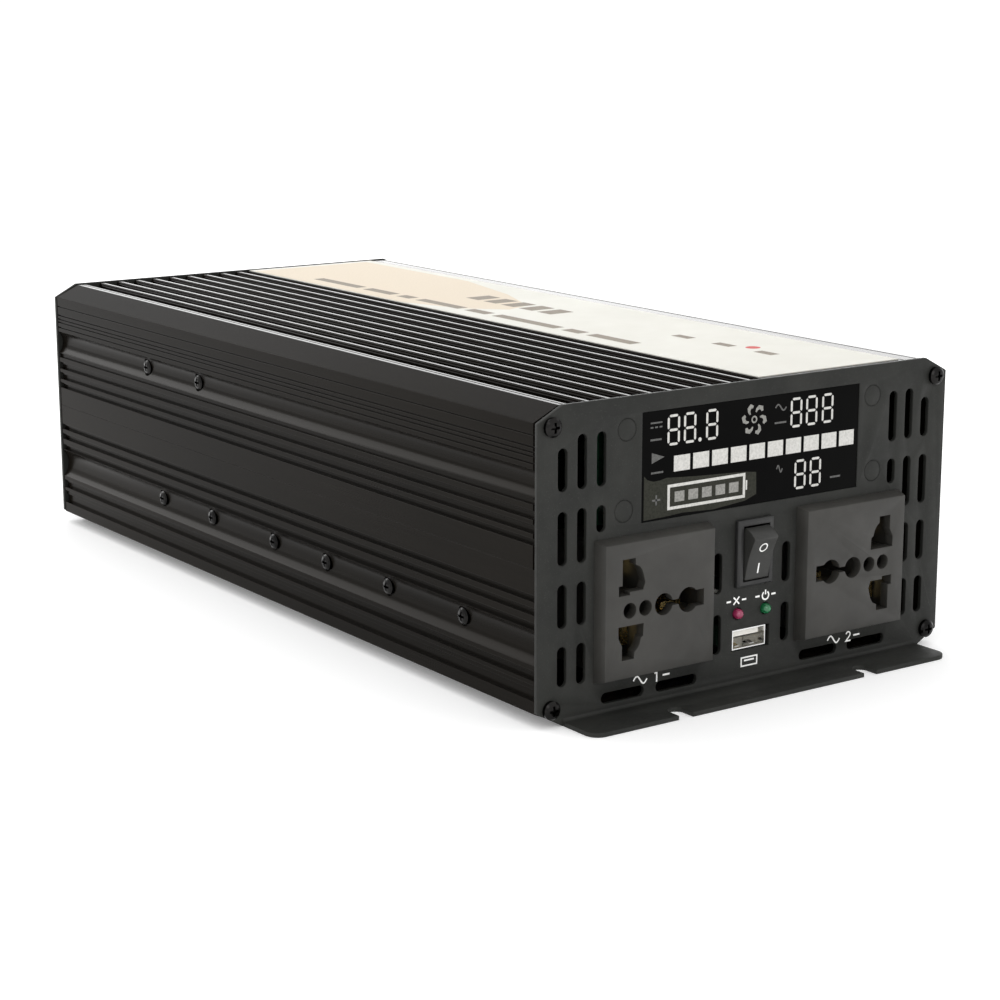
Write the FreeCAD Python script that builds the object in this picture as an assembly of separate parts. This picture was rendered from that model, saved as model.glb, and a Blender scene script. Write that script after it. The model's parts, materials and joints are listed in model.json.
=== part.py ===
import FreeCAD, Part
import math
import os

# Power inverter: a finned two-piece aluminium extrusion between two bent steel end panels.
# Millimetres. +X is right as seen from the front, the front panel faces -Y, +Z is up.
# The origin is under the middle of the whole object, on the surface it stands on.

V = FreeCAD.Vector

# ---- driving dimensions -------------------------------------------------------------
PANEL_W = 169.0            # width of both end panels
PANEL_H = 100.0            # height of both end panels
BODY_L = 340.0             # front face of front panel to rear face of rear panel
SHEET = 1.5                # panel sheet thickness
FOOT = 16.0                # how far each foot flange stands out
KNOB_OUT = 28.0            # how far the terminal knobs stand out behind
TOP_CHAMFER = (9.4, 4.9)   # panel's top corners, across and down
LOW_CHAMFER = (9.8, 5.4)   # panel's bottom corners

OVERALL_L = FOOT + BODY_L + KNOB_OUT
FRONT = FOOT - OVERALL_L / 2
REAR = FRONT + BODY_L
FRONT_IN = FRONT + SHEET
REAR_IN = REAR - SHEET

# extruded shells
SHELL_HALF = 84.2
SHELL_LOW = 0.6
SHELL_TOP = 99.6
SEAM = 50.3
LID_SETBACK = 1.2          # the lid stops this far short of the front panel
WALL_IN = 79.0             # inner face of the side walls
BOSS_IN = 74.5             # inner face of the corner bosses
LID_BOSS_LOW = 88.5
FLOOR_BOSS_TOP = 11.2
FLOOR_TOP = 3.2
CEILING = 94.6             # under the fins
CEILING_FLAT = 97.0        # under the label strip
GROOVE_DEPTH = 1.6
FIN_DEPTH = 3.0
FIN_PITCH = 8.0
FIN_W = 2.0
FIN_COUNT = 9
FIRST_FIN = -63.7
EDGE_BAND = (71.4, 75.0)
LABEL_STRIP = (4.9, 67.2)
CORNER_SCREW = (79.4, 6.0, 93.7)   # x, low z, high z
HOLE_M3 = 1.7
SHANK_M3 = 1.45

# front panel features
MID_X = 0.6                # the column of switch, lamps and outlet
SOCKET_DX = 41.1
SOCKET_Z = 34.1
SOCKET_W = 45.3
SOCKET_FACE_W = 42.9
SOCKET_PROUD = 4.5
SPIGOT_W = 40.4
SPIGOT_L = 8.0
SOCKET_BODY_L = 19.0
WINDOW = (-45.0, 45.2, 59.8, 94.4)
LENS_GAP = 0.15
LENS_RECESS = 0.4
LENS_T = 3.1
STUD_POINTS = ((-51.0, 89.8), (51.0, 89.8), (-52.0, 64.5), (52.0, 64.5))
SWITCH_Z = 44.4
SWITCH_TILT = 18.0
LAMP_Z = 24.6
LAMP_DX = 5.85
USB_Z = 15.5
SLOT_W = 3.5

# side screws: distance behind the front face
LOWER_SCREWS = (42.5, 87.0, 127.0, 163.5, 210.0, 250.0)
UPPER_SCREWS = (218.0, 260.0)
LOWER_SCREW_Z = 26.5
UPPER_SCREW_Z = 76.5
SPOT_X = 81.7              # flat that the side screws' heads sit on

# inside
BOARD_LOW = 9.8
BOARD_T = 1.6
BOARD_TOP = BOARD_LOW + BOARD_T
BOARD_HALF_W = 66.0
BOARD_Y = (FRONT + 36.0, FRONT + 300.0)
STANDOFF_Y = (FRONT + 44.0, FRONT + 150.0, FRONT + 292.0)
STANDOFF_X = 60.0

# rear panel features
FAN_W = 60.0
FAN_T = 25.0
FAN_X = 42.0
FAN_Z = 61.0
FAN_HOLE_PITCH = 50.0
DUCT_R = 28.0
ROTOR_R = 27.2
HUB_R = 14.0
BLADES = 7
TERMINAL_Z = 21.0
RED_X = -18.0
BLACK_X = -48.0
STUD_R = 4.0
EARTH_X = 3.0
EARTH_Z = 18.0
INLET_X = 44.0
INLET_Z = 18.0

X_AXIS = V(1, 0, 0)
Y_AXIS = V(0, 1, 0)
Z_AXIS = V(0, 0, 1)


# ---- small helpers ------------------------------------------------------------------
def box(x0, x1, y0, y1, z0, z1):
    """Box between two corners."""
    return Part.makeBox(x1 - x0, y1 - y0, z1 - z0, V(x0, y0, z0))


def rod(radius, length, base, direction):
    """Cylinder from base along direction."""
    return Part.makeCylinder(radius, length, V(*base), direction)


def rod_y(radius, x, z, y0, y1):
    """Cylinder along +Y."""
    return rod(radius, y1 - y0, (x, y0, z), Y_AXIS)


def prism_y(points, y0, y1):
    """Closed outline of (x, z) points, extruded along +Y."""
    loop = [V(x, y0, z) for x, z in points]
    face = Part.Face(Part.makePolygon(loop + loop[:1]))
    return face.extrude(V(0, y1 - y0, 0))


def prism_x(points, x0, x1):
    """Closed outline of (y, z) points, extruded along +X."""
    loop = [V(x0, y, z) for y, z in points]
    face = Part.Face(Part.makePolygon(loop + loop[:1]))
    return face.extrude(V(x1 - x0, 0, 0))


def turned(points, base, direction):
    """Closed (radius, height) outline turned about a line from base along direction."""
    loop = [V(r, 0, h) for r, h in points]
    face = Part.Face(Part.makePolygon(loop + loop[:1]))
    solid = face.revolve(V(0, 0, 0), Z_AXIS, 360)
    return placed(solid, base, direction)


def placed(shape, base, direction):
    """A shape built along +Z, moved to base and turned to direction."""
    shape = shape.copy()
    shape.Placement = FreeCAD.Placement(V(*base), FreeCAD.Rotation(Z_AXIS, direction))
    return shape


def obround_y(x, z, width, height, y0, y1):
    """Slot with round ends along its longer side, cut along Y."""
    r = min(width, height) / 2
    if height >= width:
        half = height / 2 - r
        ends = [rod_y(r, x, z - half, y0, y1), rod_y(r, x, z + half, y0, y1)]
        middle = box(x - r, x + r, y0, y1, z - half, z + half)
    else:
        half = width / 2 - r
        ends = [rod_y(r, x - half, z, y0, y1), rod_y(r, x + half, z, y0, y1)]
        middle = box(x - half, x + half, y0, y1, z - r, z + r)
    return middle.fuse(ends).removeSplitter()


def ring_y(outer, inner, x, z, y0, y1):
    """Plain washer along Y."""
    return rod_y(outer, x, z, y0, y1).cut(rod_y(inner, x, z, y0 - 1, y1 + 1))


def hexagon(flats, height, hole, base, direction):
    """Hex nut or standoff, with a through hole."""
    corner = flats / math.sqrt(3)
    loop = [V(corner * math.cos(math.radians(60 * k)), corner * math.sin(math.radians(60 * k)), 0)
            for k in range(6)]
    solid = Part.Face(Part.makePolygon(loop + loop[:1])).extrude(V(0, 0, height))
    solid = solid.cut(Part.makeCylinder(hole, height + 2, V(0, 0, -1)))
    return placed(solid, base, direction)


def pan_screw(base, direction, length, shank=SHANK_M3, head_r=3.0, head_h=2.1):
    """Cross-head screw. base is under the head; direction is where the head points."""
    crown = head_h * 0.55
    points = [(0, head_h), (head_r * 0.45, head_h * 0.96), (head_r * 0.8, head_h * 0.8),
              (head_r, crown), (head_r, 0), (shank, 0), (shank, -length + shank * 0.6),
              (shank * 0.4, -length), (0, -length)]
    screw = turned(points, (0, 0, 0), Z_AXIS)
    arm = head_r * 0.55
    slot = head_r * 0.14
    depth = head_h * 0.6
    cross = box(-arm, arm, -slot, slot, head_h - depth, head_h + 1)
    cross = cross.fuse(box(-slot, slot, -arm, arm, head_h - depth, head_h + 1))
    return placed(screw.cut(cross), base, direction)


def along_y(edges):
    """The edges that run along Y."""
    return [e for e in edges if abs(e.tangentAt(e.FirstParameter).y) > 0.99]


def along_z(edges):
    """The edges that run along Z."""
    return [e for e in edges if abs(e.tangentAt(e.FirstParameter).z) > 0.99]


def mirrored_x(shape):
    return shape.mirror(V(0, 0, 0), X_AXIS)


def sheet_outline():
    """Outline shared by the two end panels, as (x, z)."""
    half = PANEL_W / 2
    tx, tz = TOP_CHAMFER
    lx, lz = LOW_CHAMFER
    right = [(half - lx, 0), (half, lz), (half, PANEL_H - tz), (half - tx, PANEL_H)]
    return right + [(-x, z) for x, z in reversed(right)]


# ---- extruded shells ----------------------------------------------------------------
def side_groove(z0, z1, depth, y0, y1):
    """A square groove along both sides."""
    cut = box(SHELL_HALF - depth, SHELL_HALF + 1, y0, y1, z0, z1)
    return [cut, mirrored_x(cut)]


def stepped_groove(z0, z1, y0, y1):
    """A groove with a shallow step along its upper edge."""
    step = z1 - (z1 - z0) * 0.35
    shallow = side_groove(z0, z1, GROOVE_DEPTH * 0.5, y0, y1)
    return shallow + side_groove(z0, step, GROOVE_DEPTH, y0, y1)


def side_channel(z0, z1, depth, y0, y1):
    """A shallow concave channel along both sides."""
    chord = z1 - z0
    radius = (chord * chord / 4 + depth * depth) / (2 * depth)
    cut = rod_y(radius, SHELL_HALF - depth + radius, (z0 + z1) / 2, y0, y1)
    return [cut, mirrored_x(cut)]


def fin_grooves(y0, y1):
    """The gaps between the fins, each with a small ridge along both walls."""
    top = SHELL_TOP
    low = top - FIN_DEPTH
    ridge = 1.15
    bump = 0.35
    edges = [(-EDGE_BAND[0], FIRST_FIN - FIN_W / 2)]
    for k in range(FIN_COUNT):
        start = FIRST_FIN + k * FIN_PITCH + FIN_W / 2
        end = start + FIN_PITCH - FIN_W if k < FIN_COUNT - 1 else LABEL_STRIP[0]
        edges.append((start, end))
    cuts = []
    for a, b in edges:
        outline = [(a - bump, top + 1), (a - bump, top), (a, top - bump),
                   (a, top - ridge + bump), (a + bump, top - ridge), (a, top - ridge - bump), (a, low),
                   (b, low), (b, top - ridge - bump), (b - bump, top - ridge), (b, top - ridge + bump),
                   (b, top - bump), (b + bump, top), (b + bump, top + 1)]
        cuts.append(prism_y(outline, y0, y1))
    return cuts


def spot_faces(distances, z):
    """Flat seats and through holes for the side screws."""
    cuts = []
    for d in distances:
        seat = rod(3.3, 5, (SPOT_X, FRONT + d, z), X_AXIS)
        hole = rod(HOLE_M3, 8, (WALL_IN - 1, FRONT + d, z), X_AXIS)
        cuts += [seat, hole, mirrored_x(seat), mirrored_x(hole)]
    return cuts


def corner_bores(z, y0, y1):
    x = CORNER_SCREW[0]
    return [rod_y(HOLE_M3, x, z, y0, y1), rod_y(HOLE_M3, -x, z, y0, y1)]


def upper_shell():
    """Lid: finned top, ribbed sides down to the seam."""
    y0 = FRONT_IN + LID_SETBACK
    y1 = REAR_IN
    over = (y0 - 1, y1 + 1)
    right = [(SHELL_HALF, SEAM), (SHELL_HALF, 95.1), (EDGE_BAND[1], SHELL_TOP)]
    shell = prism_y(right + [(-x, z) for x, z in reversed(right)], y0, y1)
    inside = [(WALL_IN, SEAM - 1), (WALL_IN, LID_BOSS_LOW), (BOSS_IN, LID_BOSS_LOW), (BOSS_IN, CEILING),
              (69.4, CEILING), (67.0, CEILING_FLAT), (7.0, CEILING_FLAT), (4.6, CEILING),
              (-BOSS_IN, CEILING), (-BOSS_IN, LID_BOSS_LOW), (-WALL_IN, LID_BOSS_LOW), (-WALL_IN, SEAM - 1)]
    cuts = [prism_y(inside, *over)]
    for z0, z1 in ((57.7, 59.8), (61.3, 64.1), (65.6, 68.4)):
        cuts += stepped_groove(z0, z1, *over)
    cuts += side_groove(70.3, 72.0, 0.9, *over)
    cuts += side_channel(72.0, 81.0, 2.0, *over)
    for z in (82.8, 84.9, 86.2, 87.8):
        cuts += side_groove(z - 0.25, z + 0.25, 0.6, *over)
    cuts += side_groove(91.2, 91.6, 0.5, *over)
    cuts += fin_grooves(*over)
    for x in (-73.2, 67.6, 73.2):
        cuts.append(box(x - 0.25, x + 0.25, *over, SHELL_TOP - 0.6, SHELL_TOP + 1))
    for side in (-1, 1):
        cuts.append(box(side * 81.8 - 0.75, side * 81.8 + 0.75, *over, SEAM - 1, SEAM + 2.2))
    cuts += corner_bores(CORNER_SCREW[2], *over)
    cuts += spot_faces(UPPER_SCREWS, UPPER_SCREW_Z)
    return shell.cut(cuts).removeSplitter()


def lower_shell():
    """Tray: floor and ribbed sides up to the seam, with a tongue that locates the lid."""
    over = (FRONT_IN - 1, REAR_IN + 1)
    right = [(74.6, SHELL_LOW), (SHELL_HALF, 4.9), (SHELL_HALF, SEAM)]
    tray = prism_y(right + [(-x, z) for x, z in reversed(right)], FRONT_IN, REAR_IN)
    inside = [(BOSS_IN, FLOOR_TOP), (BOSS_IN, FLOOR_BOSS_TOP), (WALL_IN, FLOOR_BOSS_TOP),
              (WALL_IN, SEAM + 1)]
    cuts = [prism_y(inside + [(-x, z) for x, z in reversed(inside)], *over)]
    for z0, z1 in ((9.0, 14.0), (15.4, 18.6), (31.5, 33.7), (36.0, 38.3), (40.2, 42.3)):
        cuts += stepped_groove(z0, z1, *over)
    cuts += side_channel(20.2, 31.3, 2.2, *over)
    for x in (-50.0, -25.0, 0.0, 25.0, 50.0):
        cuts.append(box(x - 3.0, x + 3.0, *over, SHELL_LOW - 1, SHELL_LOW + 0.6))
    cuts += corner_bores(CORNER_SCREW[1], *over)
    cuts += spot_faces(LOWER_SCREWS, LOWER_SCREW_Z)
    cuts += [rod(1.3, 6, (x, y, -1), Z_AXIS) for x, y in standoff_points()]
    tray = tray.cut(cuts)
    tongues = []
    for side in (-1, 1):
        tongues.append(box(side * 81.8 - 0.6, side * 81.8 + 0.6, FRONT_IN + LID_SETBACK, REAR_IN,
                           SEAM - 0.5, SEAM + 1.9))
    return tray.fuse(tongues).removeSplitter()


# ---- end panels ---------------------------------------------------------------------
def foot_flange():
    """Foot flange of the front panel: a bent lip with two open notches."""
    half = PANEL_W / 2 - LOW_CHAMFER[0]
    tip = FRONT - FOOT
    corner = 4.5
    lip = box(-half, half, tip, FRONT + 0.2, 0, SHEET)
    lip = lip.makeFillet(corner, [e for e in along_z(lip.Edges) if abs(e.CenterOfMass.y - tip) < 0.01])
    notch_r = 2.8
    depth = 7.6
    for x in (-39.0, 39.0):
        lip = lip.cut([rod(notch_r, 4, (x, tip + depth - notch_r, -1), Z_AXIS),
                       box(x - notch_r, x + notch_r, tip - 1, tip + depth - notch_r, -1, 3)])
    bend_r = 1.2
    gusset = [(FRONT - bend_r, SHEET), (FRONT, SHEET), (FRONT, SHEET + bend_r)]
    bend = prism_x(gusset, -half, half)
    bend = bend.cut(rod(bend_r, 2 * half + 2, (-half - 1, FRONT - bend_r, SHEET + bend_r), X_AXIS))
    return lip.fuse(bend)


def bare_panel():
    """Panel sheet with its foot and its four corner holes, standing at the front."""
    sheet = prism_y(sheet_outline(), FRONT, FRONT_IN)
    sheet = sheet.fuse(foot_flange()).removeSplitter()
    x, low, high = CORNER_SCREW
    holes = [rod_y(HOLE_M3, s * x, z, FRONT - 1, FRONT_IN + 1) for s in (-1, 1) for z in (low, high)]
    return sheet.cut(holes)


def vent_slots():
    """Air slots of the front panel as (x, low z, high z) for the uprights, mirrored left and right."""
    y = (FRONT - 1, FRONT_IN + 1)
    columns = {75.2: ((12.5, 25.2), (31.0, 44.7), (50.6, 67.3), (73.5, 86.8)),
               67.9: ((12.3, 25.3), (31.1, 44.7), (50.6, 67.6), (73.5, 90.4)),
               60.6: ((59.1, 67.5), (73.4, 90.3))}
    cuts = []
    for x, runs in columns.items():
        for side in (-1, 1):
            cuts += [obround_y(side * x, (a + b) / 2, SLOT_W, b - a, *y) for a, b in runs]
    for side in (-1, 1):
        for a, b in ((12.3, 25.4), (32.3, 45.7)):
            cuts.append(obround_y(MID_X + side * 14.4, (a + b) / 2, SLOT_W, b - a, *y))
        for a, b in ((21.8, 38.4), (43.2, 60.0)):
            cuts.append(obround_y(side * (a + b) / 2, 5.9, b - a, SLOT_W, *y))
    return cuts


def socket_x(side):
    return MID_X + side * SOCKET_DX


def front_panel():
    y = (FRONT - 1, FRONT_IN + 1)
    cuts = vent_slots()
    x0, x1, z0, z1 = WINDOW
    cuts.append(box(x0, x1, *y, z0, z1))
    half = SPIGOT_W / 2 + 0.2
    for side in (-1, 1):
        x = socket_x(side)
        cuts.append(box(x - half, x + half, *y, SOCKET_Z - half, SOCKET_Z + half))
    cuts.append(box(MID_X - 6.5, MID_X + 6.5, *y, SWITCH_Z - 9.7, SWITCH_Z + 9.7))
    cuts.append(box(MID_X - 7.9, MID_X + 7.9, *y, USB_Z - 3.6, USB_Z + 3.6))
    for side in (-1, 1):
        cuts.append(rod_y(2.0, MID_X + side * LAMP_DX, LAMP_Z, *y))
    for x, z in STUD_POINTS:
        cuts.append(ring_y(3.6, 3.35, x, z, FRONT - 1, FRONT + 0.15))
    return bare_panel().cut(cuts)


def rear_panel():
    panel = bare_panel().mirror(V(0, (FRONT + REAR) / 2, 0), Y_AXIS)
    y = (REAR_IN - 1, REAR + 1)
    cuts = []
    reach = FAN_HOLE_PITCH / 2
    for side in (-1, 1):
        x = side * FAN_X
        cuts.append(rod_y(DUCT_R, x, FAN_Z, *y))
        for dx in (-reach, reach):
            cuts += [rod_y(2.2, x + dx, FAN_Z + dz, *y) for dz in (-reach, reach)]
    for x in (RED_X, BLACK_X):
        cuts.append(rod_y(7.0, x, TERMINAL_Z, *y))
    cuts.append(rod_y(2.6, EARTH_X, EARTH_Z, *y))
    cuts.append(box(INLET_X - 14.0, INLET_X + 14.0, *y, INLET_Z - 10.2, INLET_Z + 10.2))
    cuts += [rod_y(HOLE_M3, INLET_X + dx, INLET_Z, *y) for dx in (-20, 20)]
    for side in (-1, 1):
        for a, b in ((36.0, 50.0), (55.0, 69.0), (74.0, 88.0)):
            cuts.append(obround_y(side * 77.0, (a + b) / 2, SLOT_W, b - a, *y))
    for z in (38.0, 46.0, 54.0, 62.0, 70.0, 78.0, 86.0):
        cuts.append(obround_y(0, z, 13.0, SLOT_W, *y))
    return panel.cut(cuts)


def corner_screws(face, direction):
    x, low, high = CORNER_SCREW
    return [pan_screw((s * x, face, z), direction, 12) for s in (-1, 1) for z in (low, high)]


def top_label():
    low, high = LABEL_STRIP
    return box(low + 0.5, high - 0.6, FRONT_IN + 3.0, REAR_IN - 1.5, SHELL_TOP, SHELL_TOP + 0.3)


# ---- display ------------------------------------------------------------------------
def display_lens():
    """Window pane: a plug in the cut-out with a rear rim on three sides."""
    x0, x1, z0, z1 = WINDOW
    gap = LENS_GAP
    rim = 2.0
    back = FRONT + LENS_RECESS + LENS_T
    pane = box(x0 + gap, x1 - gap, FRONT + LENS_RECESS, back, z0 + gap, z1 - gap)
    flange = box(x0 - rim, x1 + rim, FRONT_IN, back, z0 - rim, z1 - gap)
    return pane.fuse(flange).removeSplitter()


DISPLAY_Y = FRONT + LENS_RECESS + LENS_T
DISPLAY_BOARD_Y = DISPLAY_Y + 5.0


def display_module():
    x0, x1, z0, z1 = WINDOW
    return box(x0 + 1, x1 - 1, DISPLAY_Y, DISPLAY_BOARD_Y, z0 + 1, z1 - 0.6)


def display_board():
    board = box(-56, 56, DISPLAY_BOARD_Y, DISPLAY_BOARD_Y + BOARD_T, 59.0, 94.0)
    holes = [rod_y(HOLE_M3, x, z, DISPLAY_BOARD_Y - 1, DISPLAY_BOARD_Y + 3) for x, z in STUD_POINTS]
    return board.cut(holes)


def display_studs():
    """Shouldered studs pressed into the panel from behind."""
    studs = []
    for x, z in STUD_POINTS:
        shoulder = rod_y(2.8, x, z, FRONT_IN, DISPLAY_BOARD_Y)
        studs.append(shoulder.fuse(rod_y(SHANK_M3, x, z, DISPLAY_BOARD_Y - 1, DISPLAY_BOARD_Y + 6)))
    return studs


def display_nuts():
    y = DISPLAY_BOARD_Y + BOARD_T
    return [hexagon(5.5, 2.4, 1.5, (x, y, z), Y_AXIS) for x, z in STUD_POINTS]


# ---- universal mains sockets ----------------------------------------------------------
def line_aperture(y0, y1):
    """Upper opening for the flat, slanted and round pins, round the socket's centre."""
    outline = [(-15.0, 16.4), (-10.0, 16.4), (-10.0, 14.3), (-8.3, 13.5), (-7.4, 12.2), (-6.7, 10.3),
               (-6.2, 8.2), (-7.0, 6.0), (-12.2, 6.0), (-12.2, 5.0), (-16.4, 5.0), (-16.4, 8.2),
               (-15.0, 8.2)]
    return prism_y(outline, y0, y1)


def neutral_aperture(y0, y1):
    """Lower opening."""
    outline = [(-16.4, -4.8), (-6.6, -4.8), (-6.8, -8.8), (-7.6, -9.2), (-8.3, -11.4), (-9.1, -12.6),
               (-10.2, -13.5), (-10.3, -15.6), (-15.0, -15.6), (-15.0, -10.9), (-16.4, -8.3)]
    return prism_y(outline, y0, y1)


def middle_apertures(y0, y1):
    """Round pin holes and the earth opening."""
    holes = [rod_y(2.45, -12.1, 0, y0, y1), rod_y(2.45, -6.0, 0, y0, y1)]
    holes.append(rod_y(3.5, 1.3, 0, y0, y1))
    earth = rod_y(4.0, 11.1, 0, y0, y1).fuse(box(11.1, 17.4, y0, y1, -2.6, 2.6))
    holes.append(earth.fuse(box(3.5, 8.5, y0, y1, -0.8, 0.8)))
    return holes


def socket_face():
    """Front moulding: a raised square with drafted sides and a spigot through the panel."""
    outer = SOCKET_W / 2
    inner = SOCKET_FACE_W / 2
    y_face = FRONT - SOCKET_PROUD
    low = Part.makePolygon([V(x, FRONT, z) for x, z in square(outer)])
    high = Part.makePolygon([V(x, y_face, z) for x, z in square(inner)])
    plate = Part.makeLoft([low, high], True)
    half = SPIGOT_W / 2
    face = plate.fuse(box(-half, half, FRONT - 0.5, FRONT + SPIGOT_L, -half, half))
    span = (y_face - 1, FRONT)
    cuts = [line_aperture(*span), neutral_aperture(*span)] + middle_apertures(*span)
    return face.cut(cuts + contact_pockets(FRONT - 1.0, FRONT + SPIGOT_L + 1))


def contact_pockets(y0, y1):
    """Spaces for the line, neutral, small round and earth contacts."""
    return [box(-17.0, -5.6, y0, y1, 4.2, 17.0), box(-17.0, -5.6, y0, y1, -17.0, -4.2),
            box(-15.2, -3.0, y0, y1, -3.0, 3.0), box(-2.4, 18.0, y0, y1, -4.4, 4.4)]


def square(half):
    """Corners of a closed square outline."""
    return ((-half, -half), (half, -half), (half, half), (-half, half), (-half, -half))


def socket_body():
    """Rear housing with one pocket for each contact."""
    half = SPIGOT_W / 2
    y0 = FRONT + SPIGOT_L
    y1 = y0 + SOCKET_BODY_L
    return box(-half, half, y0, y1, -half, half).cut(contact_pockets(y0 - 1, y1 - 2.5))


def clip(gap, height, lip, y0, y1):
    """U-shaped spring clip with flared lips, open to the front; its leaves face each other along X."""
    leaf = 0.8
    half = gap / 2
    tall = (-height / 2, height / 2)
    parts = [box(-half - leaf, half + leaf, y1 - leaf, y1, *tall),
             box(-1.5, 1.5, y1 - leaf, y1 + 9, -0.4, 0.4)]
    for side in (-1, 1):
        x_leaf = sorted((side * half, side * (half + leaf)))
        x_lip = sorted((side * half, side * (half + leaf + lip)))
        parts += [box(*x_leaf, y0, y1, *tall), box(*x_lip, y0, y0 + leaf, *tall)]
    return parts[0].fuse(parts[1:]).removeSplitter()


def socket_contacts(side):
    """Brass clips for line, neutral and earth, and a leaf under the round pin."""
    near = FRONT + 4.5
    far = FRONT + SPIGOT_L + 1.0
    y1 = FRONT + SPIGOT_L + SOCKET_BODY_L - 2.5
    line_y, neutral_y = (far, near) if side < 0 else (near, far)
    line = clip(4.7, 7.0, 2.2, line_y, y1).translated(V(-11.25, 0, 11.1))
    neutral = clip(4.7, 7.0, 2.2, neutral_y, y1).translated(V(-11.25, 0, -10.2))
    earth = clip(4.8, 8.0, 0.9, near, y1)
    earth.rotate(V(0, 0, 0), Y_AXIS, 90)
    leaf = box(-1.8, 5.4, FRONT + 1.0, y1, -4.2, -3.4)
    return [line, neutral, earth.translated(V(11.1, 0, 0)), leaf]


def tail_slots():
    """Openings in the back of the rear housing for the contact tails."""
    y0 = FRONT + SPIGOT_L + SOCKET_BODY_L - 3.5
    y1 = y0 + 5
    slots = [box(-13.0, -9.5, y0, y1, z - 0.7, z + 0.7) for z in (11.1, -10.2)]
    slots.append(box(10.4, 11.8, y0, y1, -1.75, 1.75))
    return slots


def at_socket(shape, side):
    """Moves a socket piece from the origin to its place; the right-hand one is turned half round."""
    shape = shape.copy()
    if side > 0:
        shape.rotate(V(0, 0, 0), Y_AXIS, 180)
    shape.translate(V(socket_x(side), 0, SOCKET_Z))
    return shape


# ---- rocker switch ------------------------------------------------------------------
KEY_HALF_W = 4.95
KEY_END_R = 8.85           # the key's ends follow this circle about the pivot
KEY_FACE = 4.8             # pivot to the chord between the face's two edges
KEY_DISH = 0.8             # how far the face is dished behind that chord
KEY_PIN_R = 0.95


def switch_housing():
    """Bezel and snap-in body, hollow for the rocker, with two pivot holes."""
    bezel = box(MID_X - 7.5, MID_X + 7.5, FRONT - 2.0, FRONT, SWITCH_Z - 11.0, SWITCH_Z + 11.0)
    rim = [e for e in bezel.Edges if abs(e.CenterOfMass.y - (FRONT - 2.0)) < 0.01]
    bezel = bezel.makeChamfer(0.7, rim)
    body = box(MID_X - 6.4, MID_X + 6.4, FRONT - 0.1, FRONT + 14.0, SWITCH_Z - 9.6, SWITCH_Z + 9.6)
    hollow = box(MID_X - 5.45, MID_X + 5.45, FRONT - 3.0, FRONT + 11.0, SWITCH_Z - 9.1, SWITCH_Z + 9.1)
    pivot = rod(KEY_PIN_R + 0.05, 12.4, (MID_X - 6.2, FRONT, SWITCH_Z), X_AXIS)
    slots = [box(MID_X - 2.5, MID_X + 2.5, FRONT + 10, FRONT + 15,
                 SWITCH_Z + dz - 0.5, SWITCH_Z + dz + 0.5) for dz in (-5.0, 5.0)]
    return bezel.fuse(body).cut([hollow, pivot] + slots).removeSplitter()


def key_arc(angles, radius):
    """Arc about the pivot through three angles, measured from straight out towards the top."""
    points = [V(0, -radius * math.cos(math.radians(t)), radius * math.sin(math.radians(t)))
              for t in angles]
    return Part.Arc(*points).toShape()


def switch_rocker():
    """Rocker with a dished face and round ends, resting with its lower half pressed in."""
    edge = math.degrees(math.acos(KEY_FACE / KEY_END_R))
    back = 96.0
    upper = key_arc((edge, (edge + back) / 2, back), KEY_END_R)
    lower = key_arc((-back, -(edge + back) / 2, -edge), KEY_END_R)
    top, low = upper.Vertexes[0].Point, lower.Vertexes[-1].Point
    face = Part.Arc(low, V(0, KEY_DISH - KEY_FACE, 0), top).toShape()
    spine = [upper.Vertexes[-1].Point, V(0, 3.2, 2.2), V(0, 3.2, -2.2), lower.Vertexes[0].Point]
    outline = Part.Wire(Part.__sortEdges__([face, upper, lower] + Part.makePolygon(spine).Edges))
    key = Part.Face(outline).extrude(V(2 * KEY_HALF_W, 0, 0)).translated(V(-KEY_HALF_W, 0, 0))
    key = key.fuse(rod(KEY_PIN_R, 11.7, (-5.85, 0, 0), X_AXIS))
    key.rotate(V(0, 0, 0), X_AXIS, SWITCH_TILT)
    return key.translated(V(MID_X, FRONT, SWITCH_Z)).removeSplitter()


def switch_terminals():
    return [box(MID_X - 2.3, MID_X + 2.3, FRONT + 11.5, FRONT + 21.0,
                SWITCH_Z + dz - 0.4, SWITCH_Z + dz + 0.4) for dz in (-5.0, 5.0)]


# ---- lamps and charging outlet ---------------------------------------------------------
FRONT_BOARD_Y = FRONT + 14.0


def lamp(side):
    """Domed 3 mm lamp with its legs."""
    x = MID_X + side * LAMP_DX
    dome_r = 1.7
    body = rod_y(dome_r, x, LAMP_Z, FRONT - 0.4, FRONT + 4.0)
    dome = Part.makeSphere(dome_r, V(x, FRONT - 0.4, LAMP_Z))
    flange = rod_y(2.1, x, LAMP_Z, FRONT + 2.4, FRONT + 4.0)
    legs = [rod_y(0.3, x + dx, LAMP_Z, FRONT + 3.5, FRONT_BOARD_Y) for dx in (-1.2, 1.2)]
    return body.fuse([dome, flange] + legs).removeSplitter()


USB_FRONT = FRONT + 1.0
USB_HALF_W = 7.0
USB_HALF_H = 3.3


def usb_shell():
    wall = 0.4
    w, h = USB_HALF_W, USB_HALF_H
    outer = box(MID_X - w, MID_X + w, USB_FRONT, FRONT_BOARD_Y, USB_Z - h, USB_Z + h)
    w, h = w - wall, h - wall
    inner = box(MID_X - w, MID_X + w, USB_FRONT - 1, FRONT_BOARD_Y - 0.6, USB_Z - h, USB_Z + h)
    return outer.cut(inner)


def usb_tongue():
    base = box(MID_X - 6.4, MID_X + 6.4, FRONT_BOARD_Y - 2.6, FRONT_BOARD_Y - 0.6, USB_Z - 2.6, USB_Z + 2.6)
    tongue = box(MID_X - 5.5, MID_X + 5.5, USB_FRONT + 1.8, FRONT_BOARD_Y - 2.0, USB_Z + 0.55, USB_Z + 2.45)
    return base.fuse(tongue).removeSplitter()


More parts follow.
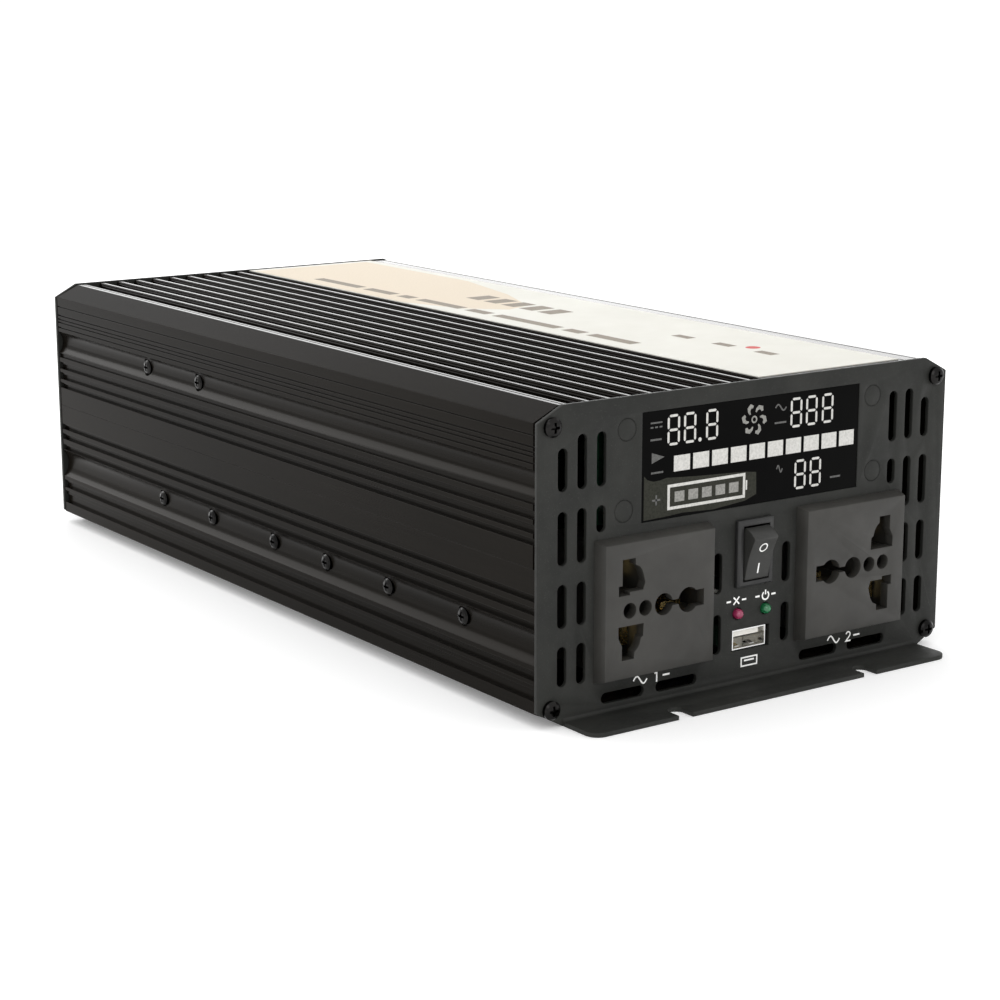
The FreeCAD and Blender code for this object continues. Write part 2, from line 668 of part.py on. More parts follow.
SPACER_DX = 10.0
SPACER_Z = 30.0


def front_board():
    board = box(MID_X - 12, MID_X + 12, FRONT_BOARD_Y, FRONT_BOARD_Y + BOARD_T, 9.5, 33.0)
    holes = [rod_y(1.2, MID_X + s * SPACER_DX, SPACER_Z, FRONT_BOARD_Y - 1, FRONT_BOARD_Y + 3)
             for s in (-1, 1)]
    return board.cut(holes)


def front_board_spacers():
    """Plastic spacers that snap through the small board."""
    spacers = []
    for s in (-1, 1):
        x = MID_X + s * SPACER_DX
        post = rod_y(1.9, x, SPACER_Z, FRONT_IN, FRONT_BOARD_Y)
        spacers.append(post.fuse(rod_y(1.0, x, SPACER_Z, FRONT_BOARD_Y - 1, FRONT_BOARD_Y + 3.5)))
    return spacers


# ---- main board and what stands on it ---------------------------------------------------
def main_board():
    board = box(-BOARD_HALF_W, BOARD_HALF_W, *BOARD_Y, BOARD_LOW, BOARD_TOP)
    return board.cut([rod(HOLE_M3, 4, (x, y, BOARD_LOW - 1), Z_AXIS) for x, y in standoff_points()])


def standoff_points():
    return [(x, y) for x in (-STANDOFF_X, STANDOFF_X) for y in STANDOFF_Y]


def board_standoffs():
    height = BOARD_LOW - FLOOR_TOP
    return [hexagon(6.0, height, 1.6, (x, y, FLOOR_TOP), Z_AXIS) for x, y in standoff_points()]


def board_screws():
    return [pan_screw((x, y, BOARD_TOP), Z_AXIS, 6.5) for x, y in standoff_points()]


PACKAGE_T = 4.6


def wall_layer(side, near, far):
    """Low and high x of a layer between two depths from one side wall's inner face."""
    return sorted((side * (WALL_IN - near), side * (WALL_IN - far)))


def transistor(side, y, z):
    """Flat power package against the side wall, legs down to the board."""
    body = box(*wall_layer(side, 0, PACKAGE_T), y - 5.1, y + 5.1, z - 7.8, z + 7.8)
    x_leg = side * (WALL_IN - 2.6)
    legs = [box(x_leg - 0.3, x_leg + 0.3, y + dy - 0.4, y + dy + 0.4, BOARD_TOP, z - 7.5)
            for dy in (-2.54, 0, 2.54)]
    return body.fuse(legs)


def power_transistors():
    """Two packages between each pair of lower screws, on both walls."""
    packages = []
    for a, b in zip(LOWER_SCREWS, LOWER_SCREWS[1:]):
        middle = FRONT + (a + b) / 2
        for side in (-1, 1):
            for dy in (-6.2, 6.2):
                packages.append(transistor(side, middle + dy, LOWER_SCREW_Z + 1.5))
    return packages


def clamp_bar(side, distances, z):
    """Bar that the side screws pull against the packages."""
    half_h = 4.5
    x0, x1 = wall_layer(side, PACKAGE_T, PACKAGE_T + 6.0)
    y0 = FRONT + distances[0] - 7
    y1 = FRONT + distances[-1] + 7
    bar = box(x0, x1, y0, y1, z - half_h, z + half_h)
    return bar.cut([rod(HOLE_M3, 12, (x0 - 3, FRONT + d, z), X_AXIS) for d in distances])


def clamp_bars():
    rows = ((LOWER_SCREWS, LOWER_SCREW_Z), (UPPER_SCREWS, UPPER_SCREW_Z))
    return [clamp_bar(side, distances, z) for distances, z in rows for side in (-1, 1)]


def side_screws(distances, z):
    return [pan_screw((side * SPOT_X, FRONT + d, z), V(side, 0, 0), 12.5, head_r=2.8, head_h=1.9)
            for d in distances for side in (-1, 1)]


def bridge_rectifiers():
    """One flat bridge package on each upper wall, between the two upper screws."""
    middle = FRONT + sum(UPPER_SCREWS) / 2
    z = UPPER_SCREW_Z
    packages = []
    for side in (-1, 1):
        body = box(*wall_layer(side, 0, PACKAGE_T), middle - 12, middle + 12, z - 9, z + 9)
        x_leg = side * (WALL_IN - 2.6)
        legs = [box(x_leg - 0.4, x_leg + 0.4, middle + dy - 0.6, middle + dy + 0.6, z - 20, z - 8)
                for dy in (-7.5, -2.5, 2.5, 7.5)]
        packages.append(body.fuse(legs))
    return packages


TRANSFORMER_PLACES = ((-26.0, 168.0), (26.0, 168.0), (-26.0, 214.0), (26.0, 214.0))
CORE_W = 42.0
CORE_T = 16.0
CORE_H = 42.0
CORE_LIFT = 4.0
LIMB = 7.0


def transformer_cores():
    """Ferrite frames: a top, a bottom and two outer limbs round a centre limb."""
    cores = []
    centre_limb = 4.5
    for x, d in TRANSFORMER_PLACES:
        y = FRONT + d
        z0 = BOARD_TOP + CORE_LIFT
        frame = box(x - CORE_W / 2, x + CORE_W / 2, y - CORE_T / 2, y + CORE_T / 2, z0, z0 + CORE_H)
        windows = []
        for edges in ((LIMB - CORE_W / 2, -centre_limb), (centre_limb, CORE_W / 2 - LIMB)):
            windows.append(box(x + edges[0], x + edges[1], y - CORE_T, y + CORE_T,
                               z0 + LIMB, z0 + CORE_H - LIMB))
        cores.append(frame.cut(windows))
    return cores


def transformer_windings():
    """Wound bobbins round the centre limbs, on feet that stand on the board."""
    windings = []
    for x, d in TRANSFORMER_PLACES:
        y = FRONT + d
        z0 = BOARD_TOP + CORE_LIFT
        coil = box(x - 13.6, x + 13.6, y - 17.0, y + 17.0, z0 + LIMB + 1.0, z0 + CORE_H - LIMB - 1.0)
        coil = coil.makeFillet(4.0, along_z(coil.Edges))
        limb = box(x - 4.8, x + 4.8, y - CORE_T / 2 - 0.3, y + CORE_T / 2 + 0.3, z0, z0 + CORE_H)
        feet = [box(x - 12.0, x + 12.0, y + s - 2.0, y + s + 2.0, BOARD_TOP, z0 + LIMB + 2.0)
                for s in (-13.0, 13.0)]
        windings.append(coil.fuse(feet).cut(limb).removeSplitter())
    return windings


def capacitor(x, y, radius, height):
    """Can with a rolled groove near its foot."""
    groove = 2.5
    points = [(0, 0), (radius, 0), (radius, groove), (radius - 0.7, groove + 0.8), (radius, groove + 1.6),
              (radius, height - 0.8), (radius - 0.8, height), (0, height)]
    return turned(points, (x, y, BOARD_TOP), Z_AXIS)


def bus_capacitors():
    return [capacitor(x, FRONT + 122.0, 15.0, 45.0) for x in (-48.0, -16.0, 16.0, 48.0)]


def input_capacitors():
    return [capacitor(x, FRONT + 252.0, 8.0, 30.0) for x in (-50.0, -30.0, -10.0, 10.0, 30.0, 50.0)]


INDUCTOR_X = -30.0
INDUCTOR_Y = FRONT + 72.0
INDUCTOR_R = 17.0
INDUCTOR_Z = BOARD_TOP + 8.1


def inductor_core():
    """Toroidal ring lying flat."""
    return Part.makeTorus(INDUCTOR_R, 5.5, V(INDUCTOR_X, INDUCTOR_Y, INDUCTOR_Z), Z_AXIS)


def inductor_winding():
    """Turns of thick wire round the ring, drawn as separate closed loops."""
    turns = 16
    loops = []
    for k in range(turns):
        angle = 2 * math.pi * (k + 0.5) / turns
        centre = V(INDUCTOR_X + INDUCTOR_R * math.cos(angle),
                   INDUCTOR_Y + INDUCTOR_R * math.sin(angle), INDUCTOR_Z)
        tangent = V(-math.sin(angle), math.cos(angle), 0)
        loops.append(Part.makeTorus(6.9, 1.2, centre, tangent))
    return loops


def control_board():
    """Upright card plugged into the main board."""
    y = FRONT + 100.0
    return box(-55, 55, y, y + BOARD_T, BOARD_TOP, BOARD_TOP + 52)


def changeover_relays():
    """Relays that pass the mains through to the sockets."""
    return [box(x - 8, x + 8, FRONT + 62.0, FRONT + 90.0, BOARD_TOP, BOARD_TOP + 20.0)
            for x in (22.0, 44.0)]


# ---- fans -----------------------------------------------------------------------------
FAN_BACK = REAR_IN
FAN_FRONT = REAR_IN - FAN_T


def fan_frame(x):
    """Square frame with a round duct, four mounting lugs at each end, and a motor base on spokes."""
    half = FAN_W / 2
    frame = box(x - half, x + half, FAN_FRONT, FAN_BACK, FAN_Z - half, FAN_Z + half)
    frame = frame.makeFillet(3.0, along_y(frame.Edges))
    cuts = [rod_y(DUCT_R, x, FAN_Z, FAN_FRONT - 1, FAN_BACK + 1)]
    reach = FAN_HOLE_PITCH / 2
    lug = 4.0
    for dx in (-reach, reach):
        for dz in (-reach, reach):
            cuts.append(rod_y(2.2, x + dx, FAN_Z + dz, FAN_FRONT - 1, FAN_BACK + 1))
            corner_x = sorted((x + dx * 0.72, x + dx * 1.4))
            corner_z = sorted((FAN_Z + dz * 0.72, FAN_Z + dz * 1.4))
            pocket = box(*corner_x, FAN_FRONT + lug, FAN_BACK - lug, *corner_z)
            cuts.append(pocket.cut(rod_y(DUCT_R + 1.5, x, FAN_Z, FAN_FRONT, FAN_BACK)))
    frame = frame.cut(cuts)
    base = rod_y(HUB_R - 0.5, x, FAN_Z, FAN_FRONT, FAN_FRONT + 2.5)
    spokes = []
    for k in range(4):
        spoke = box(HUB_R - 2, DUCT_R + 0.6, FAN_FRONT, FAN_FRONT + 2.2, -1.4, 1.4)
        spoke.rotate(V(0, 0, 0), Y_AXIS, 45 + 90 * k)
        spokes.append(spoke.translated(V(x, 0, FAN_Z)))
    bearing = rod_y(1.55, x, FAN_Z, FAN_FRONT - 1, FAN_FRONT + 4)
    return frame.fuse([base] + spokes).cut(bearing).removeSplitter()


def fan_rotor(x):
    """Hub cup with pitched blades and a shaft."""
    y0 = FAN_FRONT + 3.4
    y1 = FAN_BACK - 2.0
    hub = rod_y(HUB_R, 0, 0, y0, y1)
    rim = [e for e in hub.Edges if abs(e.BoundBox.YMin - y1) < 0.01 and e.BoundBox.XLength > HUB_R]
    hub = hub.makeFillet(1.2, rim)
    middle = (y0 + y1) / 2
    chord = 21.0
    pitch = 40.0
    limit = rod_y(ROTOR_R, 0, 0, y0, y1)
    blades = []
    for k in range(BLADES):
        blade = box(HUB_R - 1.5, ROTOR_R + 2, middle - 0.6, middle + 0.6, -chord / 2, chord / 2)
        blade.rotate(V(0, middle, 0), X_AXIS, pitch)
        blade.rotate(V(0, 0, 0), Y_AXIS, 360.0 * k / BLADES)
        blades.append(blade.common(limit))
    shaft = rod_y(1.5, 0, 0, FAN_FRONT + 0.4, y0 + 1)
    rotor = hub.fuse(blades + [shaft]).removeSplitter()
    return rotor.translated(V(x, 0, FAN_Z))


def fan_guard(x):
    """Wire guard: a middle boss and rings on four wires that end in eyes for the screws."""
    wire = 0.8
    eye_r = 3.2
    boss_r = 4.0
    y = REAR + wire
    guard = rod_y(boss_r, x, FAN_Z, y - 0.6, y + 1.0)
    diagonal = FAN_HOLE_PITCH / math.sqrt(2)
    arms = []
    for k in range(4):
        arm = rod(wire, diagonal - eye_r - boss_r + 1.0, (boss_r - 1.0, 0, 0), X_AXIS)
        eye = Part.makeTorus(eye_r, wire, V(diagonal, 0, 0), Y_AXIS)
        arm = arm.fuse(eye)
        arm.rotate(V(0, 0, 0), Y_AXIS, 45 + 90 * k)
        arms.append(arm.translated(V(x, y, FAN_Z)))
    rings = [Part.makeTorus(r, wire, V(x, y + 0.9, FAN_Z), Y_AXIS) for r in (9.0, 15.2, 21.4, 27.6)]
    return guard.fuse(arms + rings)


def fan_screw_points():
    reach = FAN_HOLE_PITCH / 2
    corners = [(dx, dz) for dx in (-reach, reach) for dz in (-reach, reach)]
    return [(side * FAN_X + dx, FAN_Z + dz) for side in (-1, 1) for dx, dz in corners]


def fan_screws():
    return [pan_screw((x, REAR + 1.7, z), Y_AXIS, 34.0, shank=1.9, head_r=4.2, head_h=2.6)
            for x, z in fan_screw_points()]


def fan_nuts():
    return [hexagon(7.0, 3.0, 2.0, (x, FAN_FRONT - 3.0, z), Y_AXIS) for x, z in fan_screw_points()]


# ---- battery terminals -------------------------------------------------------------------
COLLAR_T = 6.0
WASHER_T = 2.0
INNER_FLANGE = 4.5


def terminal_insulator(x):
    """Stepped bush: outer collar, neck through the panel, inner flange."""
    outer = rod_y(10.0, x, TERMINAL_Z, REAR, REAR + COLLAR_T)
    neck = rod_y(6.9, x, TERMINAL_Z, REAR_IN - 0.5, REAR + 1)
    inner = rod_y(9.0, x, TERMINAL_Z, REAR_IN - INNER_FLANGE, REAR_IN)
    bore = rod_y(STUD_R + 0.1, x, TERMINAL_Z, REAR_IN - 10, REAR + 10)
    return outer.fuse([neck, inner]).cut(bore).removeSplitter()


NUT_T = 5.0
BAR_T = 2.0
NUT_Y = REAR_IN - INNER_FLANGE - NUT_T
BAR_Y = NUT_Y - BAR_T


def terminal_stud(x):
    return rod_y(STUD_R, x, TERMINAL_Z, BAR_Y - NUT_T - 2, REAR + KNOB_OUT - 4)


def terminal_nuts():
    nuts = []
    for x in (RED_X, BLACK_X):
        for y in (NUT_Y, BAR_Y - NUT_T):
            nuts.append(hexagon(13.0, NUT_T, STUD_R + 0.1, (x, y, TERMINAL_Z), Y_AXIS))
    return nuts


def terminal_washer(x):
    """Loose washer that follows the knob along the stud."""
    y = REAR + COLLAR_T
    return ring_y(7.8, STUD_R + 0.08, x, TERMINAL_Z, y, y + WASHER_T)


def terminal_knob(x):
    """Fluted thumb nut with a blind bore."""
    y0 = REAR + COLLAR_T + WASHER_T
    y1 = REAR + KNOB_OUT
    knob = rod_y(8.6, x, TERMINAL_Z, y0, y1)
    rim = [e for e in knob.Edges if e.BoundBox.YLength < 0.01 and abs(e.BoundBox.YMin - y1) < 0.01]
    knob = knob.makeFillet(1.5, rim)
    flutes = []
    count = 12
    reach = 9.0
    for k in range(count):
        angle = 2 * math.pi * k / count
        x_flute = x + reach * math.cos(angle)
        z_flute = TERMINAL_Z + reach * math.sin(angle)
        flutes.append(rod_y(1.3, x_flute, z_flute, y0 + 3.0, y1 + 1))
    bore = rod_y(STUD_R + 0.06, x, TERMINAL_Z, y0 - 1, y1 - 3.0)
    return knob.cut(flutes + [bore])


def bus_bars():
    """Copper straps from the studs down onto the board."""
    bars = []
    for x in (RED_X, BLACK_X):
        upright = box(x - 8, x + 8, BAR_Y, BAR_Y + BAR_T, BOARD_TOP, TERMINAL_Z + 9)
        upright = upright.cut(rod_y(STUD_R + 0.1, x, TERMINAL_Z, BAR_Y - 1, BAR_Y + BAR_T + 1))
        foot = box(x - 8, x + 8, BOARD_Y[1] - 22, BAR_Y + BAR_T, BOARD_TOP, BOARD_TOP + BAR_T)
        bars.append(upright.fuse(foot).removeSplitter())
    return bars


# ---- earth stud and mains inlet ------------------------------------------------------------
EARTH_NUT_T = 3.2
EARTH_ROOT_R = 2.45
EARTH_R = 2.0
EARTH_OUT = 15.0


def earth_stud():
    """Stud with a fixed inner head; the root in the nut is thicker than the free end."""
    y0 = REAR_IN - 3.0
    y1 = REAR + EARTH_NUT_T + 0.5
    head = hexagon(8.0, 3.0, 0.5, (EARTH_X, y0, EARTH_Z), Y_AXIS)
    root = rod_y(EARTH_ROOT_R, EARTH_X, EARTH_Z, y0, y1)
    free = rod_y(EARTH_R, EARTH_X, EARTH_Z, y1 - 1, REAR + EARTH_OUT)
    return head.fuse([root, free]).removeSplitter()


def earth_nut():
    return hexagon(8.0, EARTH_NUT_T, 2.5, (EARTH_X, REAR, EARTH_Z), Y_AXIS)


def inlet_outline(half_w, half_h, cut):
    """Recess outline with its two upper corners cut off."""
    return [(INLET_X - half_w, INLET_Z - half_h), (INLET_X + half_w, INLET_Z - half_h),
            (INLET_X + half_w, INLET_Z + half_h - cut), (INLET_X + half_w - cut, INLET_Z + half_h),
            (INLET_X - half_w + cut, INLET_Z + half_h), (INLET_X - half_w, INLET_Z + half_h - cut)]


INLET_FACE = REAR + 2.5
INLET_DEPTH = 22.0
RECESS = 16.0


def mains_inlet():
    """Recessed appliance inlet with two screw ears."""
    flange = box(INLET_X - 25, INLET_X + 25, REAR, INLET_FACE, INLET_Z - 11.2, INLET_Z + 11.2)
    flange = flange.makeChamfer(4.5, along_y(flange.Edges))
    body = box(INLET_X - 13.7, INLET_X + 13.7, INLET_FACE - INLET_DEPTH, REAR + 1,
               INLET_Z - 9.9, INLET_Z + 9.9)
    recess = prism_y(inlet_outline(12.0, 8.2, 4.0), INLET_FACE - RECESS, INLET_FACE + 1)
    ears = [rod_y(HOLE_M3, INLET_X + dx, INLET_Z, REAR - 1, INLET_FACE + 1) for dx in (-20, 20)]
    pins = [box(x0 - 0.1, x1 + 0.1, INLET_FACE - INLET_DEPTH - 1, INLET_FACE, z0 - 0.1, z1 + 0.1)
            for x0, x1, z0, z1 in inlet_pin_places()]
    return flange.fuse(body).cut([recess] + ears + pins).removeSplitter()


def inlet_pin_places():
    """Low and high x, low and high z of each blade."""
    return [(INLET_X + dx - 1.0, INLET_X + dx + 1.0, INLET_Z + dz - 2.0, INLET_Z + dz + 2.0)
            for dx, dz in ((-7.0, -2.0), (0.0, 2.0), (7.0, -2.0))]


def inlet_pins():
    return [box(x0, x1, INLET_FACE - INLET_DEPTH - 6, INLET_FACE - 3.0, z0, z1)
            for x0, x1, z0, z1 in inlet_pin_places()]


def inlet_screws():
    return [pan_screw((INLET_X + dx, INLET_FACE, INLET_Z), Y_AXIS, 9.0) for dx in (-20, 20)]


def inlet_nuts():
    return [hexagon(5.5, 2.4, 1.5, (INLET_X + dx, REAR_IN - 2.4, INLET_Z), Y_AXIS) for dx in (-20, 20)]


# ---- output -----------------------------------------------------------------------------
def socket_nodes(name, side):
    body = socket_body().cut(tail_slots())
    return {
        name + "_face": at_socket(socket_face(), side),
        name + "_body": at_socket(body, side),
        name + "_contacts": [at_socket(piece, side) for piece in socket_contacts(side)],
    }


def all_nodes():
    nodes = {
        "upper_shell": upper_shell(),
        "lower_shell": lower_shell(),
        "front_panel": front_panel(),
        "rear_panel": rear_panel(),
        "panel_screws": corner_screws(FRONT, -Y_AXIS) + corner_screws(REAR, Y_AXIS),
        "top_label": top_label(),
        "display_lens": display_lens(),
        "display_module": display_module(),
        "display_board": display_board(),
        "display_fasteners": display_studs() + display_nuts(),
        "switch_housing": switch_housing(),
        "switch_rocker": switch_rocker(),
        "switch_terminals": switch_terminals(),
        "led_fault": lamp(-1),
        "led_power": lamp(1),
        "usb_shell": usb_shell(),
        "usb_tongue": usb_tongue(),
        "front_board": front_board(),
        "front_board_spacers": front_board_spacers(),
        "main_board": main_board(),
        "board_fasteners": board_standoffs() + board_screws(),
        "power_transistors": power_transistors(),
        "bridge_rectifiers": bridge_rectifiers(),
        "clamp_bars": clamp_bars(),
        "side_screws": side_screws(LOWER_SCREWS, LOWER_SCREW_Z) + side_screws(UPPER_SCREWS, UPPER_SCREW_Z),
        "transformer_cores": transformer_cores(),
        "transformer_windings": transformer_windings(),
        "bus_capacitors": bus_capacitors(),
        "input_capacitors": input_capacitors(),
        "inductor_core": inductor_core(),
        "inductor_winding": inductor_winding(),
        "control_board": control_board(),
        "changeover_relays": changeover_relays(),
        "fan_fasteners": fan_screws() + fan_nuts(),
        "fan_guards": [fan_guard(-FAN_X), fan_guard(FAN_X)],
        "terminal_nuts": terminal_nuts(),
        "bus_bars": bus_bars(),
        "earth_stud": earth_stud(),
        "earth_nut": earth_nut(),
        "mains_inlet": mains_inlet(),
        "inlet_pins": inlet_pins(),
        "inlet_fasteners": inlet_screws() + inlet_nuts(),
    }
    for name, side in (("left_socket", -1), ("right_socket", 1)):
        nodes.update(socket_nodes(name, side))
    for name, x in (("left", -FAN_X), ("right", FAN_X)):
        nodes[name + "_fan_frame"] = fan_frame(x)
        nodes[name + "_fan_rotor"] = fan_rotor(x)
    for name, x in (("red", RED_X), ("black", BLACK_X)):
        nodes[name + "_insulator"] = terminal_insulator(x)
        nodes[name + "_stud"] = terminal_stud(x)
        nodes[name + "_washer"] = terminal_washer(x)
        nodes[name + "_knob"] = terminal_knob(x)
    return nodes


def save(name, shape):
    """Writes one STEP file; a list becomes one group of separate solids."""
    solids = []
    for piece in shape if isinstance(shape, list) else [shape]:
        solids += piece.Solids
    whole = solids[0] if len(solids) == 1 else Part.makeCompound(solids)
    whole.exportStep(os.path.join("parts", name + ".step"))


def main():
    os.makedirs("parts", exist_ok=True)
    for name, shape in all_nodes().items():
        save(name, shape)


main()
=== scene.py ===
"""Looks of the power inverter: materials, eased edges, printed marks, display graphics, lights and camera."""

import json
import math

import bmesh
import bpy
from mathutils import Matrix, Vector

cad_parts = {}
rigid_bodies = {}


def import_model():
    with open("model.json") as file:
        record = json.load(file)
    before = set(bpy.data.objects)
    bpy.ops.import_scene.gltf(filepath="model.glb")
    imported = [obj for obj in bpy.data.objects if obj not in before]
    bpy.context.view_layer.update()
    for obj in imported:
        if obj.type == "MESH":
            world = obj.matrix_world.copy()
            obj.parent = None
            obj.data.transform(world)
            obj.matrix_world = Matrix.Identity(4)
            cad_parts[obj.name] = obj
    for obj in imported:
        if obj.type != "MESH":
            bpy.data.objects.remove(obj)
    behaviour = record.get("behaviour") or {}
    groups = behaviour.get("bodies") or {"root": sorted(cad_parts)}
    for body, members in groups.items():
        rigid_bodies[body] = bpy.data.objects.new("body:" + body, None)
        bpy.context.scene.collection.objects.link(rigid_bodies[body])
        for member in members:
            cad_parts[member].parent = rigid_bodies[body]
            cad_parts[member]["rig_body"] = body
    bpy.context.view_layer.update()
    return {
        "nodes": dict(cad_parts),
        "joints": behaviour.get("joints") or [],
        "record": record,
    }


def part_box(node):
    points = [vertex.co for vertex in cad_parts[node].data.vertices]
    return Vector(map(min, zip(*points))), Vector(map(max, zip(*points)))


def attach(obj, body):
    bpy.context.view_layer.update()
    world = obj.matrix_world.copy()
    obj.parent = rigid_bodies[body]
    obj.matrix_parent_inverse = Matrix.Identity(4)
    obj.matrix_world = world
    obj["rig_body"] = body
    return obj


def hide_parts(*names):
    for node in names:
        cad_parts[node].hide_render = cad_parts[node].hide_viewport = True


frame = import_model()
nodes = frame["nodes"]
MM = 0.001


# ---- node helpers -----------------------------------------------------------------------
class Tree:
    """A material's node tree with short calls for the nodes used here."""

    def __init__(self, name):
        self.material = bpy.data.materials.new(name)
        self.material.use_nodes = True
        self.tree = self.material.node_tree
        self.shader = self.tree.nodes["Principled BSDF"]
        self.place = None

    def node(self, kind, **values):
        made = self.tree.nodes.new(kind)
        for key, value in values.items():
            setattr(made, key, value)
        return made

    def link(self, a, b):
        self.tree.links.new(a, b)

    def position(self):
        """Object coordinates: the part's own frame, in metres."""
        if self.place is None:
            self.place = self.node("ShaderNodeTexCoord")
        return self.place.outputs["Object"]

    def stretched(self, scale):
        made = self.node("ShaderNodeMapping")
        made.inputs["Scale"].default_value = scale
        self.link(self.position(), made.inputs["Vector"])
        return made.outputs["Vector"]

    def noise(self, scale, stretch=(1, 1, 1), detail=3.0, rough=0.55):
        made = self.node("ShaderNodeTexNoise")
        made.inputs["Scale"].default_value = scale
        made.inputs["Detail"].default_value = detail
        made.inputs["Roughness"].default_value = rough
        self.link(self.stretched(stretch), made.inputs["Vector"])
        return made.outputs["Fac"]

    def ramp(self, factor, stops):
        made = self.node("ShaderNodeValToRGB")
        band = made.color_ramp
        while len(band.elements) < len(stops):
            band.elements.new(0.5)
        for element, (at, colour) in zip(band.elements, stops):
            element.position = at
            element.color = (*colour, 1.0) if len(colour) == 3 else colour
        self.link(factor, made.inputs["Fac"])
        return made.outputs["Color"]

    def span(self, factor, low, high, start=0.3, end=0.7):
        made = self.node("ShaderNodeMapRange")
        made.inputs["From Min"].default_value = start
        made.inputs["From Max"].default_value = end
        made.inputs["To Min"].default_value = low
        made.inputs["To Max"].default_value = high
        self.link(factor, made.inputs["Value"])
        return made.outputs["Result"]

    def mix(self, factor, a, b):
        made = self.node("ShaderNodeMix", data_type="RGBA")
        for source, target in ((factor, made.inputs["Factor"]), (a, made.inputs["A"]), (b, made.inputs["B"])):
            if isinstance(source, bpy.types.NodeSocket):
                self.link(source, target)
            elif isinstance(source, tuple):
                target.default_value = (*source, 1.0)
            else:
                target.default_value = source
        return made.outputs["Result"]

    def math(self, operation, a, b):
        made = self.node("ShaderNodeMath", operation=operation)
        for source, target in ((a, made.inputs[0]), (b, made.inputs[1])):
            if isinstance(source, bpy.types.NodeSocket):
                self.link(source, target)
            else:
                target.default_value = source
        return made.outputs[0]

    def bump(self, height, strength, distance):
        made = self.node("ShaderNodeBump")
        made.inputs["Strength"].default_value = strength
        made.inputs["Distance"].default_value = distance
        self.link(height, made.inputs["Height"])
        self.link(made.outputs["Normal"], self.shader.inputs["Normal"])

    def set(self, **values):
        names = {"metallic": "Metallic", "rough": "Roughness", "coat": "Coat Weight",
                 "coat_rough": "Coat Roughness", "specular": "Specular IOR Level",
                 "emission": "Emission Strength"}
        for key, value in values.items():
            self.shader.inputs[names[key]].default_value = value


def moulded(name, low, high, rough=(0.45, 0.6), grain=1400.0, depth=0.02, specular=0.5, coat=0.0):
    """Moulded plastic: slight mottling, a fine spark-eroded grain, and uneven gloss."""
    t = Tree(name)
    t.link(t.ramp(t.noise(60.0, detail=4.0), [(0.35, low), (0.65, high)]), t.shader.inputs["Base Color"])
    t.link(t.span(t.noise(220.0), *rough), t.shader.inputs["Roughness"])
    t.bump(t.noise(grain, detail=2.0), 0.35, depth * MM)
    t.set(specular=specular, coat=coat, coat_rough=0.12)
    return t.material


def powder_coat(name, low, high, rough=(0.5, 0.62)):
    """Fine matt powder coat: a pebbled skin with tiny lighter specks."""
    t = Tree(name)
    mottle = t.ramp(t.noise(45.0, detail=5.0), [(0.35, low), (0.65, high)])
    specks = t.ramp(t.noise(2600.0, detail=1.0), [(0.66, (0, 0, 0)), (0.74, (1, 1, 1))])
    lit = tuple(min(1.0, c * 1.5) for c in high)
    t.link(t.mix(specks, mottle, lit), t.shader.inputs["Base Color"])
    t.link(t.span(t.noise(300.0), *rough), t.shader.inputs["Roughness"])
    t.bump(t.noise(1700.0, detail=3.0), 0.5, 0.035 * MM)
    t.set(specular=0.22)
    return t.material


def anodised(name, low, high):
    """Black anodised extrusion: glossy, with faint draw lines along its length."""
    t = Tree(name)
    lines = t.noise(900.0, stretch=(1, 0.012, 1), detail=4.0, rough=0.7)
    broad = t.noise(9.0, stretch=(1, 0.4, 1), detail=3.0)
    both = t.math("MULTIPLY_ADD", lines, 0.35)
    t.link(broad, both.node.inputs[2])
    t.link(t.ramp(both, [(0.45, low), (0.85, high)]), t.shader.inputs["Base Color"])
    t.link(t.span(lines, 0.15, 0.24), t.shader.inputs["Roughness"])
    t.bump(lines, 0.2, 0.01 * MM)
    t.shader.inputs["Specular Tint"].default_value = (1.0, 0.9, 0.78, 1.0)
    t.set(specular=0.035)
    return t.material


def metal(name, low, high, rough=(0.2, 0.35), grain=600.0, stretch=(1, 1, 1), depth=0.01):
    """Bare or plated metal with fine marks and patchy gloss."""
    t = Tree(name)
    t.link(t.ramp(t.noise(80.0, detail=5.0), [(0.3, low), (0.7, high)]), t.shader.inputs["Base Color"])
    marks = t.noise(grain, stretch=stretch, detail=4.0, rough=0.7)
    t.link(t.span(marks, *rough), t.shader.inputs["Roughness"])
    t.bump(marks, 0.3, depth * MM)
    t.set(metallic=1.0)
    return t.material


def board(name, low, high):
    """Printed circuit board: solder mask with faint tracks under it."""
    t = Tree(name)
    tracks = t.node("ShaderNodeTexBrick")
    tracks.inputs["Scale"].default_value = 90.0
    tracks.inputs["Mortar Size"].default_value = 0.03
    tracks.inputs["Color1"].default_value = (*low, 1.0)
    tracks.inputs["Color2"].default_value = (*low, 1.0)
    tracks.inputs["Mortar"].default_value = (*high, 1.0)
    t.link(t.position(), tracks.inputs["Vector"])
    t.link(tracks.outputs["Color"], t.shader.inputs["Base Color"])
    t.link(t.span(t.noise(300.0), 0.25, 0.4), t.shader.inputs["Roughness"])
    t.set(specular=0.3)
    return t.material


def gloss(name, low, high, rough=(0.04, 0.09), specular=0.5):
    """Polished plastic with the faintest orange peel."""
    t = Tree(name)
    t.link(t.ramp(t.noise(30.0), [(0.35, low), (0.65, high)]), t.shader.inputs["Base Color"])
    t.link(t.span(t.noise(90.0), *rough), t.shader.inputs["Roughness"])
    t.bump(t.noise(140.0, detail=1.0), 0.08, 0.01 * MM)
    t.set(specular=specular)
    return t.material


